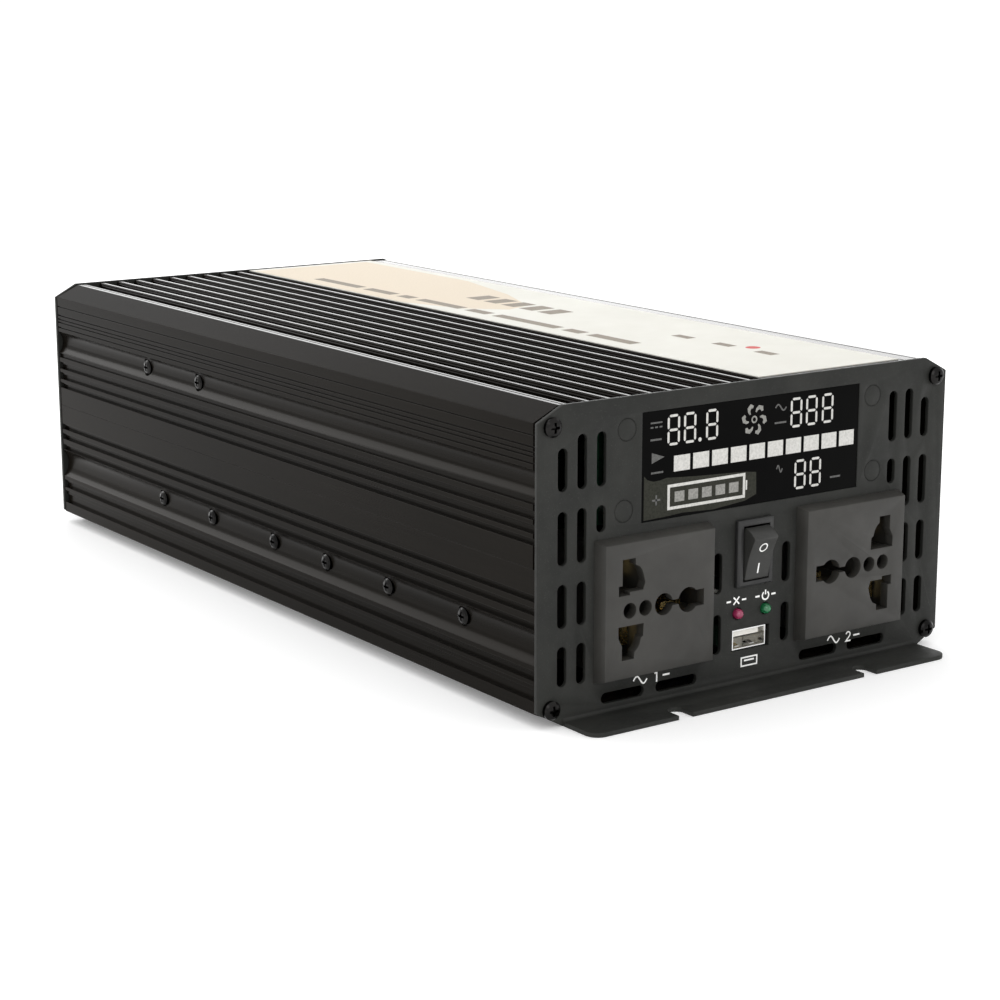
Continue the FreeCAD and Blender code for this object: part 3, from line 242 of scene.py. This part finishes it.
def lamp_resin(name, low, high):
    """Tinted, slightly cloudy epoxy."""
    t = Tree(name)
    t.link(t.ramp(t.noise(900.0), [(0.3, low), (0.7, high)]), t.shader.inputs["Base Color"])
    t.link(t.span(t.noise(500.0), 0.06, 0.14), t.shader.inputs["Roughness"])
    t.set(coat=0.6, coat_rough=0.05)
    return t.material


def ink(name, low, high, rough=(0.4, 0.55), glow=0.0, specular=0.4):
    """Screen-printed ink: slightly uneven cover; a glow above zero makes it emit a painted glow, not lamp
    light.
    """
    t = Tree(name)
    cover = t.noise(1500.0, detail=4.0)
    t.link(t.ramp(cover, [(0.32, low), (0.62, high)]), t.shader.inputs["Base Color"])
    t.link(t.span(cover, *rough), t.shader.inputs["Roughness"])
    t.shader.inputs["Emission Color"].default_value = (*high, 1.0)
    t.set(emission=glow, specular=specular)
    return t.material


def film(name, low, high):
    """Satin printed label film with faint creases."""
    t = Tree(name)
    t.link(t.ramp(t.noise(25.0, detail=4.0), [(0.35, low), (0.65, high)]), t.shader.inputs["Base Color"])
    t.link(t.span(t.noise(120.0), 0.44, 0.56), t.shader.inputs["Roughness"])
    t.bump(t.noise(35.0, detail=2.0), 0.06, 0.1 * MM)
    t.set(specular=0.03)
    return t.material


FINISHES = {
    "anodised_black": anodised("anodised_black", (0.0044, 0.0037, 0.0029), (0.0088, 0.0073, 0.0056)),
    "panel_coat": powder_coat("panel_coat", (0.0155, 0.016, 0.0145), (0.022, 0.0225, 0.020)),
    "black_steel": metal("black_steel", (0.010, 0.010, 0.010), (0.026, 0.025, 0.024), (0.12, 0.26)),
    "zinc_steel": metal("zinc_steel", (0.30, 0.30, 0.285), (0.44, 0.44, 0.425), (0.25, 0.45)),
    "label_cream": film("label_cream", (0.60, 0.59, 0.54), (0.63, 0.62, 0.57)),
    "lens_black": gloss("lens_black", (0.0012, 0.0012, 0.0012), (0.0026, 0.0026, 0.0024), specular=0.03),
    "matt_black": moulded("matt_black", (0.012, 0.012, 0.012), (0.022, 0.022, 0.021)),
    "rocker_black": moulded("rocker_black", (0.024, 0.024, 0.022), (0.032, 0.032, 0.030), (0.36, 0.48),
                            specular=0.35),
    "socket_grey": moulded("socket_grey", (0.028, 0.027, 0.024), (0.037, 0.0355, 0.0315), (0.42, 0.56),
                           specular=0.4),
    "brass": metal("brass", (0.70, 0.48, 0.15), (0.93, 0.72, 0.32), (0.18, 0.36)),
    "copper": metal("copper", (0.5, 0.22, 0.12), (0.78, 0.4, 0.25), (0.2, 0.38)),
    "lamp_red": lamp_resin("lamp_red", (0.22, 0.015, 0.055), (0.34, 0.03, 0.10)),
    "lamp_green": lamp_resin("lamp_green", (0.008, 0.10, 0.035), (0.016, 0.19, 0.07)),
    "bright_metal": metal("bright_metal", (0.7, 0.7, 0.7), (0.9, 0.9, 0.89), (0.08, 0.2)),
    "tongue_plastic": moulded("tongue_plastic", (0.84, 0.82, 0.74), (0.92, 0.90, 0.84), (0.3, 0.42)),
    "nylon_white": moulded("nylon_white", (0.7, 0.69, 0.63), (0.8, 0.79, 0.74)),
    "board_green": board("board_green", (0.004, 0.02, 0.01), (0.01, 0.05, 0.025)),
    "package_black": moulded("package_black", (0.012, 0.012, 0.013), (0.025, 0.025, 0.027)),
    "bare_aluminium": metal("bare_aluminium", (0.5, 0.5, 0.5), (0.7, 0.7, 0.7), (0.28, 0.45),
                            900.0, (1, 0.02, 1)),
    "ferrite": moulded("ferrite", (0.03, 0.03, 0.032), (0.06, 0.06, 0.064), (0.5, 0.7)),
    "winding_tape": moulded("winding_tape", (0.5, 0.38, 0.06), (0.66, 0.52, 0.12), (0.25, 0.4)),
    "capacitor_sleeve": gloss("capacitor_sleeve", (0.01, 0.015, 0.06), (0.016, 0.025, 0.09), (0.2, 0.3)),
    "relay_blue": moulded("relay_blue", (0.015, 0.08, 0.28), (0.025, 0.12, 0.38), (0.3, 0.42)),
    "fan_black": moulded("fan_black", (0.009, 0.009, 0.009), (0.018, 0.018, 0.018), (0.4, 0.52)),
    "guard_chrome": metal("guard_chrome", (0.26, 0.26, 0.26), (0.42, 0.42, 0.42), (0.1, 0.22)),
    "red_plastic": moulded("red_plastic", (0.27, 0.007, 0.007), (0.38, 0.014, 0.012), (0.25, 0.38), coat=0.3),
    "black_plastic": moulded("black_plastic", (0.010, 0.010, 0.010), (0.019, 0.019, 0.019), (0.25, 0.38),
                             coat=0.3),
}
# The white print emits at 0.12: a painted glow on the print, which is no lamp.
PRINT_WHITE_SELF_LIT = ink("print_white_self_lit", (0.72, 0.72, 0.70), (0.86, 0.86, 0.84), glow=0.12)
SEGMENT_WHITE = ink("segment_white", (0.46, 0.455, 0.43), (0.60, 0.59, 0.56), (0.15, 0.25))
SEGMENT_GREY = ink("segment_grey", (0.17, 0.17, 0.155), (0.27, 0.265, 0.245), (0.15, 0.25))
SEGMENT_DIM = ink("segment_dim", (0.055, 0.055, 0.052), (0.09, 0.09, 0.085), (0.15, 0.25))
# A lifted protective film on the lens: its lighter grey over the black lens is a painted reflection of the
# surroundings in the film's air gap.
FILM_PAINTED_REFLECTION = ink("film_painted_reflection", (0.017, 0.018, 0.013), (0.028, 0.028, 0.021), (0.1, 0.25), specular=0.1)
LABEL_TAN = ink("label_tan", (0.56, 0.48, 0.375), (0.62, 0.54, 0.43), (0.44, 0.56), specular=0.03)
LABEL_GREY = ink("label_grey", (0.16, 0.135, 0.105), (0.25, 0.215, 0.17), (0.44, 0.56), specular=0.03)
LABEL_RED = ink("label_red", (0.42, 0.05, 0.05), (0.55, 0.08, 0.07), (0.44, 0.56), specular=0.03)

slot_of = {part["node"]: part["material_slot"] for part in frame["record"]["subparts"]}


# ---- mesh helpers -----------------------------------------------------------------------
def piece(name, bm, body, material, smooth=30.0):
    """A mesh object from bm, riding on body."""
    mesh = bpy.data.meshes.new(name)
    bm.normal_update()
    bm.to_mesh(mesh)
    bm.free()
    mesh.materials.append(material)
    mesh.shade_smooth()
    mesh.set_sharp_from_angle(angle=math.radians(smooth))
    made = bpy.data.objects.new(name, mesh)
    bpy.context.scene.collection.objects.link(made)
    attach(made, body)
    return made


def eased(node, width, along_y=False, sharp=25.0, segments=2):
    """A copy of a CAD node whose outward edges are rounded off by width mm; it stands for the node."""
    bm = bmesh.new()
    bm.from_mesh(nodes[node].data)
    bmesh.ops.remove_doubles(bm, verts=bm.verts, dist=0.002 * MM)
    bmesh.ops.dissolve_limit(bm, angle_limit=math.radians(0.4), verts=bm.verts, edges=bm.edges)
    chosen = []
    for edge in bm.edges:
        if len(edge.link_faces) != 2 or not edge.is_convex:
            continue
        if edge.calc_face_angle(0.0) < math.radians(sharp):
            continue
        run = edge.verts[1].co - edge.verts[0].co
        if along_y and (abs(run.y) < 0.999 * run.length or run.length < 1.0 * MM):
            continue
        chosen.append(edge)
    bmesh.ops.bevel(bm, geom=chosen, offset=width * MM, offset_type="OFFSET", segments=segments,
                    profile=0.5, affect="EDGES", clamp_overlap=False)
    slot = slot_of[node]
    made = piece(node + "_eased", bm, nodes[node]["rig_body"], FINISHES[slot])
    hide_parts(node)
    return made


def stroke(points, width, closed=False):
    """Quads along a line of (u, v) points; width is one number or one for each point."""
    count = len(points)
    widths = width if isinstance(width, (list, tuple)) else [width] * count
    sides = []
    for k, (u, v) in enumerate(points):
        before = points[(k - 1) % count] if closed or k > 0 else points[k]
        after = points[(k + 1) % count] if closed or k < count - 1 else points[k]
        into = Vector((u - before[0], v - before[1]))
        out = Vector((after[0] - u, after[1] - v))
        into = into.normalized() if into.length > 0 else out.normalized()
        out = out.normalized() if out.length > 0 else into
        mean = (into + out).normalized()
        normal = Vector((-mean.y, mean.x)) / max(0.4, mean.dot(out))
        half = widths[k] / 2
        sides.append(((u + normal.x * half, v + normal.y * half), (u - normal.x * half, v - normal.y * half)))
    quads = []
    for k in range(count if closed else count - 1):
        (a, b), (c, d) = sides[k], sides[(k + 1) % count]
        quads.append([a, b, d, c])
    return quads


def arc(cx, cz, radius, start, end, steps=24):
    """Points on an arc; angles in degrees, from +u towards +v."""
    turn = [math.radians(start + (end - start) * k / steps) for k in range(steps + 1)]
    return [(cx + radius * math.cos(a), cz + radius * math.sin(a)) for a in turn]


def ring(cx, cz, radius, width, steps=32):
    return stroke(arc(cx, cz, radius, 0, 360, steps)[:-1], width, closed=True)


def disc(cx, cz, radius, steps=24):
    return [arc(cx, cz, radius, 0, 360, steps)[:-1]]


def rect(u0, u1, v0, v1):
    return [[(u0, v0), (u1, v0), (u1, v1), (u0, v1)]]


def wave(cx, cz, width, height, thick):
    """One period of a sine line."""
    steps = 20
    points = [(cx + width * (k / steps - 0.5), cz + height / 2 * math.sin(2 * math.pi * k / steps))
              for k in range(steps + 1)]
    return stroke(points, thick)


ON_FRONT = ((1, 0, 0), (0, 0, 1), (0, -1, 0))
ON_REAR = ((1, 0, 0), (0, 0, 1), (0, 1, 0))
ON_TOP = ((1, 0, 0), (0, 1, 0), (0, 0, 1))


def marks(name, patches, plane, base, body, slot, material, out=0.03, sunk=0.02):
    """Flat marks on a face: patches are (u, v) outlines in mm, standing out mm proud of base."""
    right, up, away = (Vector(axis) for axis in plane)
    bm = bmesh.new()
    for patch in patches:
        bm.faces.new([bm.verts.new((right * u + up * v + away * (base - sunk)) * MM) for u, v in patch])
    bmesh.ops.remove_doubles(bm, verts=bm.verts, dist=0.001 * MM)
    grown = bmesh.ops.extrude_face_region(bm, geom=bm.faces[:])
    moved = [v for v in grown["geom"] if isinstance(v, bmesh.types.BMVert)]
    bmesh.ops.translate(bm, verts=moved, vec=away * (out + sunk) * MM)
    bmesh.ops.recalc_face_normals(bm, faces=bm.faces)
    return piece(name, bm, body, material)


# ---- finishes on the CAD nodes ------------------------------------------------------------
for node_name, node_object in nodes.items():
    node_object.data.materials.clear()
    node_object.data.materials.append(FINISHES[slot_of[node_name]])

SIDE_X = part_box("upper_shell")[1].x / MM
CHANNELS = ((72.0, 81.0, 2.0), (20.2, 31.3, 2.2))


def channel_normal(at):
    """The exact normal where a point in mm lies in one of the round side channels, or None."""
    side = 1.0 if at.x > 0 else -1.0
    for z0, z1, depth in CHANNELS:
        chord = z1 - z0
        radius = (chord * chord / 4 + depth * depth) / (2 * depth)
        into = Vector((side * (SIDE_X - depth + radius) - at.x, 0, (z0 + z1) / 2 - at.z))
        if z0 - 0.05 < at.z < z1 + 0.05 and abs(into.length - radius) < 0.06:
            return into.normalized()
    return None


def true_normals(made, flat=3.0):
    """Exact normals in the side channels, face normals on faces over flat square mm, eased ones elsewhere."""
    mesh = made.data
    normals = [corner.vector.copy() for corner in mesh.corner_normals]
    for face in mesh.polygons:
        round_face = channel_normal(face.center / MM) if abs(face.normal.y) < 0.1 else None
        for corner in face.loop_indices:
            if round_face is not None:
                at = mesh.vertices[mesh.loops[corner].vertex_index].co / MM
                normals[corner] = channel_normal(at) or round_face
            elif face.area > flat * MM * MM:
                normals[corner] = face.normal
    mesh.normals_split_custom_set(normals)


for node_name in ("upper_shell", "lower_shell"):
    true_normals(eased(node_name, 0.14, along_y=True))
for node_name in ("front_panel", "rear_panel"):
    eased(node_name, 0.18)
for node_name in ("left_socket_face", "right_socket_face"):
    eased(node_name, 0.15)
for node_name, round_mm in (("switch_housing", 0.2), ("switch_rocker", 0.35), ("mains_inlet", 0.25)):
    eased(node_name, round_mm)

# ---- places read from the frame -------------------------------------------------------------
def box_mm(node):
    """Lowest and highest corners of a node at rest, in mm."""
    return tuple(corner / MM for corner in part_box(node))


SHEET = 1.5                # thickness of both end panels
lens_low, lens_high = box_mm("display_lens")
label_low, label_high = box_mm("top_label")
left_low, left_high = box_mm("left_socket_face")
right_low, right_high = box_mm("right_socket_face")
fault_low, fault_high = box_mm("led_fault")
power_low, power_high = box_mm("led_power")
usb_low, usb_high = box_mm("usb_shell")
tongue_low = box_mm("usb_tongue")[0]
red_low, red_high = box_mm("red_insulator")
black_low, black_high = box_mm("black_insulator")
earth_low, earth_high = box_mm("earth_nut")
FRONT = box_mm("front_panel")[1].y - SHEET
REAR = box_mm("rear_panel")[0].y + SHEET
MID_X = (left_low.x + right_high.x) / 2

# ---- display -----------------------------------------------------------------------------
LENS_FACE = -lens_low.y
DIGIT_W = 4.9
DIGIT_H = 9.7
SEGMENT = 0.8


def bar_segment(u0, v0, u1, v1, width):
    """Hexagonal segment between two points, pointed at both ends."""
    along = Vector((u1 - u0, v1 - v0)).normalized()
    side = Vector((-along.y, along.x)) * width / 2
    a, b = Vector((u0, v0)), Vector((u1, v1))
    tip = along * width / 2
    return [tuple(p) for p in (a, a + tip + side, b - tip + side, b, b - tip - side, a + tip - side)]


def digit(x, z):
    """All seven segments of one digit with its low left corner at x, z."""
    half = SEGMENT / 2
    left, right = x + half, x + DIGIT_W - half
    low, mid, top = z + half, z + DIGIT_H / 2, z + DIGIT_H - half
    gap = 0.34
    runs = [(left + gap, low, right - gap, low), (left + gap, mid, right - gap, mid),
            (left + gap, top, right - gap, top)]
    for u in (left, right):
        runs += [(u, low + gap, u, mid - gap), (u, mid + gap, u, top - gap)]
    return [bar_segment(*run, SEGMENT) for run in runs]


def on_lens(name, patches, material, out=0.03, sunk=0.02):
    """Marks whose outlines are measured from the lens's low left corner."""
    placed = [[(lens_low.x + u, lens_low.z + v) for u, v in patch] for patch in patches]
    marks(name, placed, ON_FRONT, LENS_FACE, "case", "lens_black", material, out, sunk)


def lit_segments():
    lit = []
    for u in (12.1, 18.6, 27.5, 62.6, 69.2, 76.1):
        lit += digit(u, 25.0)
    for u in (64.9, 71.5):
        lit += digit(u, 4.5)
    lit += disc(25.1, 25.6, 0.65)
    for k in range(10):
        start = 14.7 + 7.69 * k
        lit += rect(start + 0.1, start + 6.55, 16.6, 21.6)
    battery = [(12.9, 5.1), (43.6, 5.1), (43.6, 12.2), (12.9, 12.2)]
    lit += stroke(battery, 0.95, closed=True)
    return lit + rect(44.3, 44.9, 7.1, 10.2)


def battery_cells():
    cells = []
    for k in range(5):
        start = 15.0 + 5.52 * k
        cells += rect(start + 0.3, start + 4.2, 6.9, 10.2)
    return cells


def fan_symbol(cu, cv):
    """Hub ring and six curved blades; each blade is a line of (radius, sweep) points."""
    blade = ((2.4, 0.0), (3.3, -3.0), (4.2, -12.0), (4.6, -26.0), (4.1, -38.0))
    fan = ring(cu, cv, 0.95, 0.5)
    for k in range(6):
        turns = [(radius, math.radians(60.0 * k + 75.0 + sweep)) for radius, sweep in blade]
        path = [(cu + radius * math.cos(a), cv + radius * math.sin(a)) for radius, a in turns]
        fan += stroke(path, [0.5, 0.9, 1.25, 1.3, 0.8])
    return fan


def small_symbols():
    """Direct and alternating current signs, a pointer, and dashes where units would be."""
    dim = stroke([(5.4, 32.8), (10.0, 32.8)], 0.5)
    for k in range(3):
        dim += stroke([(5.4 + 1.75 * k, 31.4), (6.5 + 1.75 * k, 31.4)], 0.5)
    dim += wave(58.4, 32.2, 4.6, 2.0, 0.5) + wave(58.4, 12.2, 2.4, 2.2, 0.45)
    dim += [[(6.0, 23.5), (11.0, 21.8), (6.0, 20.1)]]
    for dash in ((5.4, 9.8, 27.2, 27.8), (55.9, 60.8, 27.0, 27.6), (80.5, 85.0, 6.4, 7.0),
                 (5.8, 10.6, 16.8, 17.4), (6.4, 9.6, 8.1, 8.7), (7.7, 8.3, 6.8, 10.0)):
        dim += rect(*dash)
    return dim


# Outline of the protective film on the lower left of the lens, coloured lighter grey as a painted reflection.
FILM_REFLECTION_EDGE = [(3.1, 2.5), (3.1, 16.5), (4.4, 15.2), (6.8, 14.4), (9.4, 14.5), (12.0, 15.0),
             (17.0, 14.6), (25.7, 14.0), (35.6, 13.5), (44.0, 13.0), (48.6, 12.4), (48.8, 5.2),
             (44.1, 3.6), (30.9, 2.5), (18.5, 3.1), (11.0, 2.7)]


def display_graphics():
    on_lens("display_segments", lit_segments(), SEGMENT_WHITE)
    on_lens("display_cells", battery_cells(), SEGMENT_GREY)
    on_lens("display_fan_symbol", fan_symbol(47.3, 29.5), SEGMENT_GREY)
    on_lens("display_small_symbols", small_symbols(), SEGMENT_DIM)
    on_lens("display_film_painted_reflection", [FILM_REFLECTION_EDGE], FILM_PAINTED_REFLECTION, out=0.012, sunk=0.01)


display_graphics()


# ---- marks on the panels and the rocker ----------------------------------------------------------
PANEL_FACE = -FRONT
ROCKER_TILT = math.radians(18.0)   # the rocker's turn at rest
FACE_LEAN = math.radians(6.2)      # slope of its dished face under each mark
MARK_OUT = 4.21                    # pivot to each mark, straight out
MARK_UP = 3.8                      # pivot to each mark, along the face


def numeral_one(x, z, height, thick):
    return stroke([(x - height * 0.22, z + height * 0.26), (x, z + height * 0.5)], thick) + \
        rect(x - thick / 2, x + thick / 2, z - height / 2, z + height / 2)


def numeral_two(x, z, height, thick):
    r = height * 0.25
    curve = arc(x, z + height / 2 - r - thick / 2, r, 170, -35, 14)
    foot = [(x - r, z - height / 2 + thick / 2), (x + r + thick / 2, z - height / 2 + thick / 2)]
    return stroke(curve + foot, thick)


def lamp_marks(thick):
    """A cross for the fault lamp and a power sign for the other, each between two dashes."""
    cross = (fault_low.x + fault_high.x) / 2 - 0.55
    power = (power_low.x + power_high.x) / 2 + 0.05
    z = fault_high.z + 2.3
    shapes = stroke([(cross - 1.2, z - 1.2), (cross + 1.2, z + 1.2)], thick)
    shapes += stroke([(cross - 1.2, z + 1.2), (cross - 0.25, z + 0.25)], thick)
    shapes += stroke([(cross + 0.25, z - 0.25), (cross + 1.2, z - 1.2)], thick)
    shapes += stroke(arc(power, z - 0.1, 1.35, 125, 415, 24), thick)
    shapes += stroke([(power, z + 0.2), (power, z + 1.8)], thick)
    for x in (cross - 3.2, cross + 3.2, power - 3.4, power + 3.4):
        shapes += rect(x - 0.9, x + 0.9, z - 0.3, z + 0.3)
    return shapes


def usb_mark():
    """A plug's end seen from the front."""
    z = usb_low.z - 4.2
    left, right = MID_X - 3.8, MID_X + 2.8
    shapes = stroke([(left, z - 1.4), (right, z - 1.4), (right, z + 1.4), (left, z + 1.4)], 0.5, closed=True)
    return shapes + rect(left + 1.2, right - 1.2, z + 0.1, z + 0.65)


def socket_mark(middle, z, numeral, thick):
    """An alternating current sign, the socket's number and a dash."""
    shapes = wave(middle - 4.4, z, 5.4, 2.6, thick)
    shapes += numeral(middle + 2.2, z, 3.6, thick)
    return shapes + rect(middle + 4.6, middle + 7.4, z - 0.3, z + 0.3)


def front_marks():
    thick = 0.52
    shapes = lamp_marks(thick) + usb_mark()
    shapes += socket_mark((left_low.x + left_high.x) / 2 + 0.2, left_low.z - 1.95, numeral_one, thick)
    shapes += socket_mark((right_low.x + right_high.x) / 2 - 0.3, right_low.z - 2.45, numeral_two, thick)
    marks("front_print", shapes, ON_FRONT, PANEL_FACE, "case", "panel_coat", PRINT_WHITE_SELF_LIT)


def rear_marks():
    thick = 0.7
    red_x = (red_low.x + red_high.x) / 2
    black_x = (black_low.x + black_high.x) / 2
    half = 1.8
    under = red_low.z - 3.0
    print_white_self_lit = rect(red_x - half, red_x - thick / 2, under - thick / 2, under + thick / 2)
    print_white_self_lit += rect(red_x + thick / 2, red_x + half, under - thick / 2, under + thick / 2)
    print_white_self_lit += rect(red_x - thick / 2, red_x + thick / 2, under - half, under + half)
    print_white_self_lit += rect(black_x - half, black_x + half, under - thick / 2, under + thick / 2)
    earth_x = (earth_low.x + earth_high.x) / 2
    z = earth_low.z - 3.0
    for half, drop in ((2.4, 0.0), (1.6, -1.2), (0.8, -2.4)):
        print_white_self_lit += rect(earth_x - half, earth_x + half, z + drop - 0.25, z + drop + 0.25)
    print_white_self_lit += rect(earth_x - 0.25, earth_x + 0.25, z + 0.25, z + 1.6)
    marks("rear_print", print_white_self_lit, ON_REAR, REAR, "case", "panel_coat", PRINT_WHITE_SELF_LIT)


def turned(point, angle):
    """A point turned about the X axis by angle radians."""
    c, n = math.cos(angle), math.sin(angle)
    return Vector((point.x, point.y * c - point.z * n, point.y * n + point.z * c))


def rocker_marks():
    """Ring and bar on the two halves of the rocker's dished face, tilted with it about its pivot."""
    pivot = Vector(next(j["pos_m"] for j in frame["joints"] if j["name"] == "rocker_tilt")) / MM
    for name, patches, side in (("rocker_ring_mark", ring(0, 0, 1.45, 0.42), 1),
                                ("rocker_bar_mark", rect(-0.27, 0.27, -1.75, 1.75), -1)):
        made = marks(name, patches, ON_FRONT, 0.0, "switch_rocker", "rocker_black", PRINT_WHITE_SELF_LIT,
                     out=0.07, sunk=0.05)
        for vertex in made.data.vertices:
            upright = turned(vertex.co / MM, FACE_LEAN * side) + Vector((0, -MARK_OUT, MARK_UP * side))
            vertex.co = (turned(upright, ROCKER_TILT) + pivot) * MM


def ribbon(bm, x, width, path, thick):
    """A bent strip along (y, z) points in mm, width wide about x and thick deep."""
    rows = []
    for k, (y, z) in enumerate(path):
        before, after = path[max(k - 1, 0)], path[min(k + 1, len(path) - 1)]
        along = Vector((after[0] - before[0], after[1] - before[1])).normalized()
        off = Vector((-along.y, along.x)) * thick / 2
        rows.append([bm.verts.new(Vector((x + s * width / 2, y + t * off.x, z + t * off.y)) * MM)
                     for s, t in ((-1, -1), (1, -1), (1, 1), (-1, 1))])
    for low, high in zip(rows, rows[1:]):
        for k in range(4):
            bm.faces.new([low[k], low[(k + 1) % 4], high[(k + 1) % 4], high[k]])
    bm.faces.new(rows[0])
    bm.faces.new(reversed(rows[-1]))
    bmesh.ops.recalc_face_normals(bm, faces=bm.faces)


TONGUE_UNDER = 2.75        # top of the USB shell to the underside of its tongue
SHELL_WALL = 0.4


def usb_springs():
    """Four contacts under the tongue and two tabs pressed up from the shell's floor."""
    y, under = tongue_low.y, usb_high.z - TONGUE_UNDER
    contact = [(y + 0.5, under + 0.1), (y + 1.1, under - 0.35), (y + 2.0, under - 0.55),
               (y + 3.2, under - 0.35), (y + 6.5, under - 0.02)]
    bm = bmesh.new()
    for x in (-3.5, -1.0, 1.0, 3.5):
        ribbon(bm, MID_X + x, 1.0, contact, 0.15)
    piece("usb_contacts", bm, "case", FINISHES["brass"])
    y, floor = usb_low.y, usb_low.z + SHELL_WALL
    tab = [(y + 2.2, floor), (y + 3.4, floor + 0.3), (y + 4.6, floor + 0.55),
           (y + 5.4, floor + 0.5), (y + 6.0, floor + 0.2)]
    bm = bmesh.new()
    for x in (-3.2, 3.2):
        ribbon(bm, MID_X + x, 1.7, tab, 0.2)
    piece("usb_tabs", bm, "case", FINISHES["bright_metal"])


front_marks()
rear_marks()
rocker_marks()
usb_springs()


# ---- label ------------------------------------------------------------------------------------
def top_print():
    """A tan wedge, and plain bars in place of the words."""
    x0, x1 = label_low.x + 1.5, label_high.x - 1.5
    rear = label_high.y
    front = label_low.y
    top = label_high.z
    wedge = [(x0 - 1.0, rear - 4.0), (x0 - 1.0, rear - 122.0), (x0 + 8.0, rear - 150.0),
             (x0 + 21.0, rear - 163.0), (x0 + 33.0, rear - 158.0), (x0 + 45.0, rear - 128.0),
             (x1 - 3.0, rear - 84.0), (x1 - 3.0, rear - 4.0)]
    marks("label_wedge", [wedge], ON_TOP, top, "case", "label_cream", LABEL_TAN, out=0.02)
    grey = []
    spans = ((66, 22), (92, 9), (105, 34), (143, 12), (159, 26), (189, 8), (201, 18), (223, 30))
    for start, length in spans:
        grey += rect(x0 + 6.0, x0 + 11.0, front + start * 1.15, front + (start + length) * 1.15)
    for start in (150, 162, 174, 186, 198):
        grey += rect(x0 + 26.0, x0 + 37.0, front + start, front + start + 8.5)
    for start in (30, 52, 74):
        grey += rect(x0 + 30.0, x0 + 34.0, front + start, front + start + 9.0)
    marks("label_bars", grey, ON_TOP, top, "case", "label_cream", LABEL_GREY, out=0.025)
    dot = disc(x0 + 36.0, front + 46.0, 2.6)
    marks("label_dot", dot, ON_TOP, top, "case", "label_cream", LABEL_RED, out=0.03)


top_print()


# ---- floor, light and camera ----------------------------------------------------------------------
def stage_floor():
    bm = bmesh.new()
    bmesh.ops.create_grid(bm, x_segments=1, y_segments=1, size=60.0)
    mesh = bpy.data.meshes.new("floor")
    bm.to_mesh(mesh)
    bm.free()
    t = Tree("floor_paper")
    paper = [(0.3, (0.95, 0.95, 0.95)), (0.7, (0.97, 0.97, 0.97))]
    t.link(t.ramp(t.noise(3.0), paper), t.shader.inputs["Base Color"])
    t.shader.inputs["Emission Color"].default_value = (1.0, 1.0, 1.0, 1.0)
    t.set(rough=0.9, specular=0.1, emission=0.15)
    mesh.materials.append(t.material)
    floor = bpy.data.objects.new("floor", mesh)
    bpy.context.scene.collection.objects.link(floor)


def area(name, at, target, size, power, size_y=None):
    light = bpy.data.lights.new(name, "AREA")
    light.shape = "RECTANGLE"
    light.size = size
    light.size_y = size_y or size
    light.energy = power
    made = bpy.data.objects.new(name, light)
    made.location = at
    made.rotation_euler = (Vector(target) - Vector(at)).to_track_quat("-Z", "Y").to_euler()
    made.visible_camera = False
    bpy.context.scene.collection.objects.link(made)


def sky(strength):
    world = bpy.data.worlds.new("studio")
    world.use_nodes = True
    world.node_tree.nodes["Background"].inputs["Color"].default_value = (1.0, 1.0, 1.0, 1.0)
    world.node_tree.nodes["Background"].inputs["Strength"].default_value = strength
    bpy.context.scene.world = world


CAMERA_AT = (-478.2, -720.2, 224.5)           # mm
CAMERA_ANGLES = (-34.934, 12.768, -0.037)     # azimuth, elevation and roll in degrees
CAMERA_LENS = 83.47                           # mm on a 36 mm sensor


def camera():
    azimuth, elevation, roll = (math.radians(a) for a in CAMERA_ANGLES)
    back = Vector((math.sin(azimuth) * math.cos(elevation), -math.cos(azimuth) * math.cos(elevation),
                   math.sin(elevation)))
    data = bpy.data.cameras.new("camera")
    data.lens = CAMERA_LENS
    data.sensor_width = 36.0
    data.clip_end = 200.0
    made = bpy.data.objects.new("camera", data)
    turn = (-back).to_track_quat("-Z", "Y").to_matrix().to_4x4()
    made.matrix_world = turn
    made.location = Vector(CAMERA_AT) * MM
    made.rotation_euler.rotate_axis("Z", roll)
    bpy.context.scene.collection.objects.link(made)
    bpy.context.scene.camera = made


stage_floor()
sky(1.0)
area("overhead", (0.0, 0.35, 1.3), (0, 0, 0.05), 1.5, 4.0)
area("front", (-0.5, -1.6, 0.8), (0, -0.1, 0.05), 1.0, 4.0)
area("behind", (0.84, 1.2, 0.38), (0, 0, 0.08), 1.2, 5.0, 0.5)
area("left_behind", (-0.72, 1.2, 0.62), (0, -0.1, 0.06), 0.9, 7.0, 0.6)
camera()
bpy.context.scene.view_settings.view_transform = "Standard"
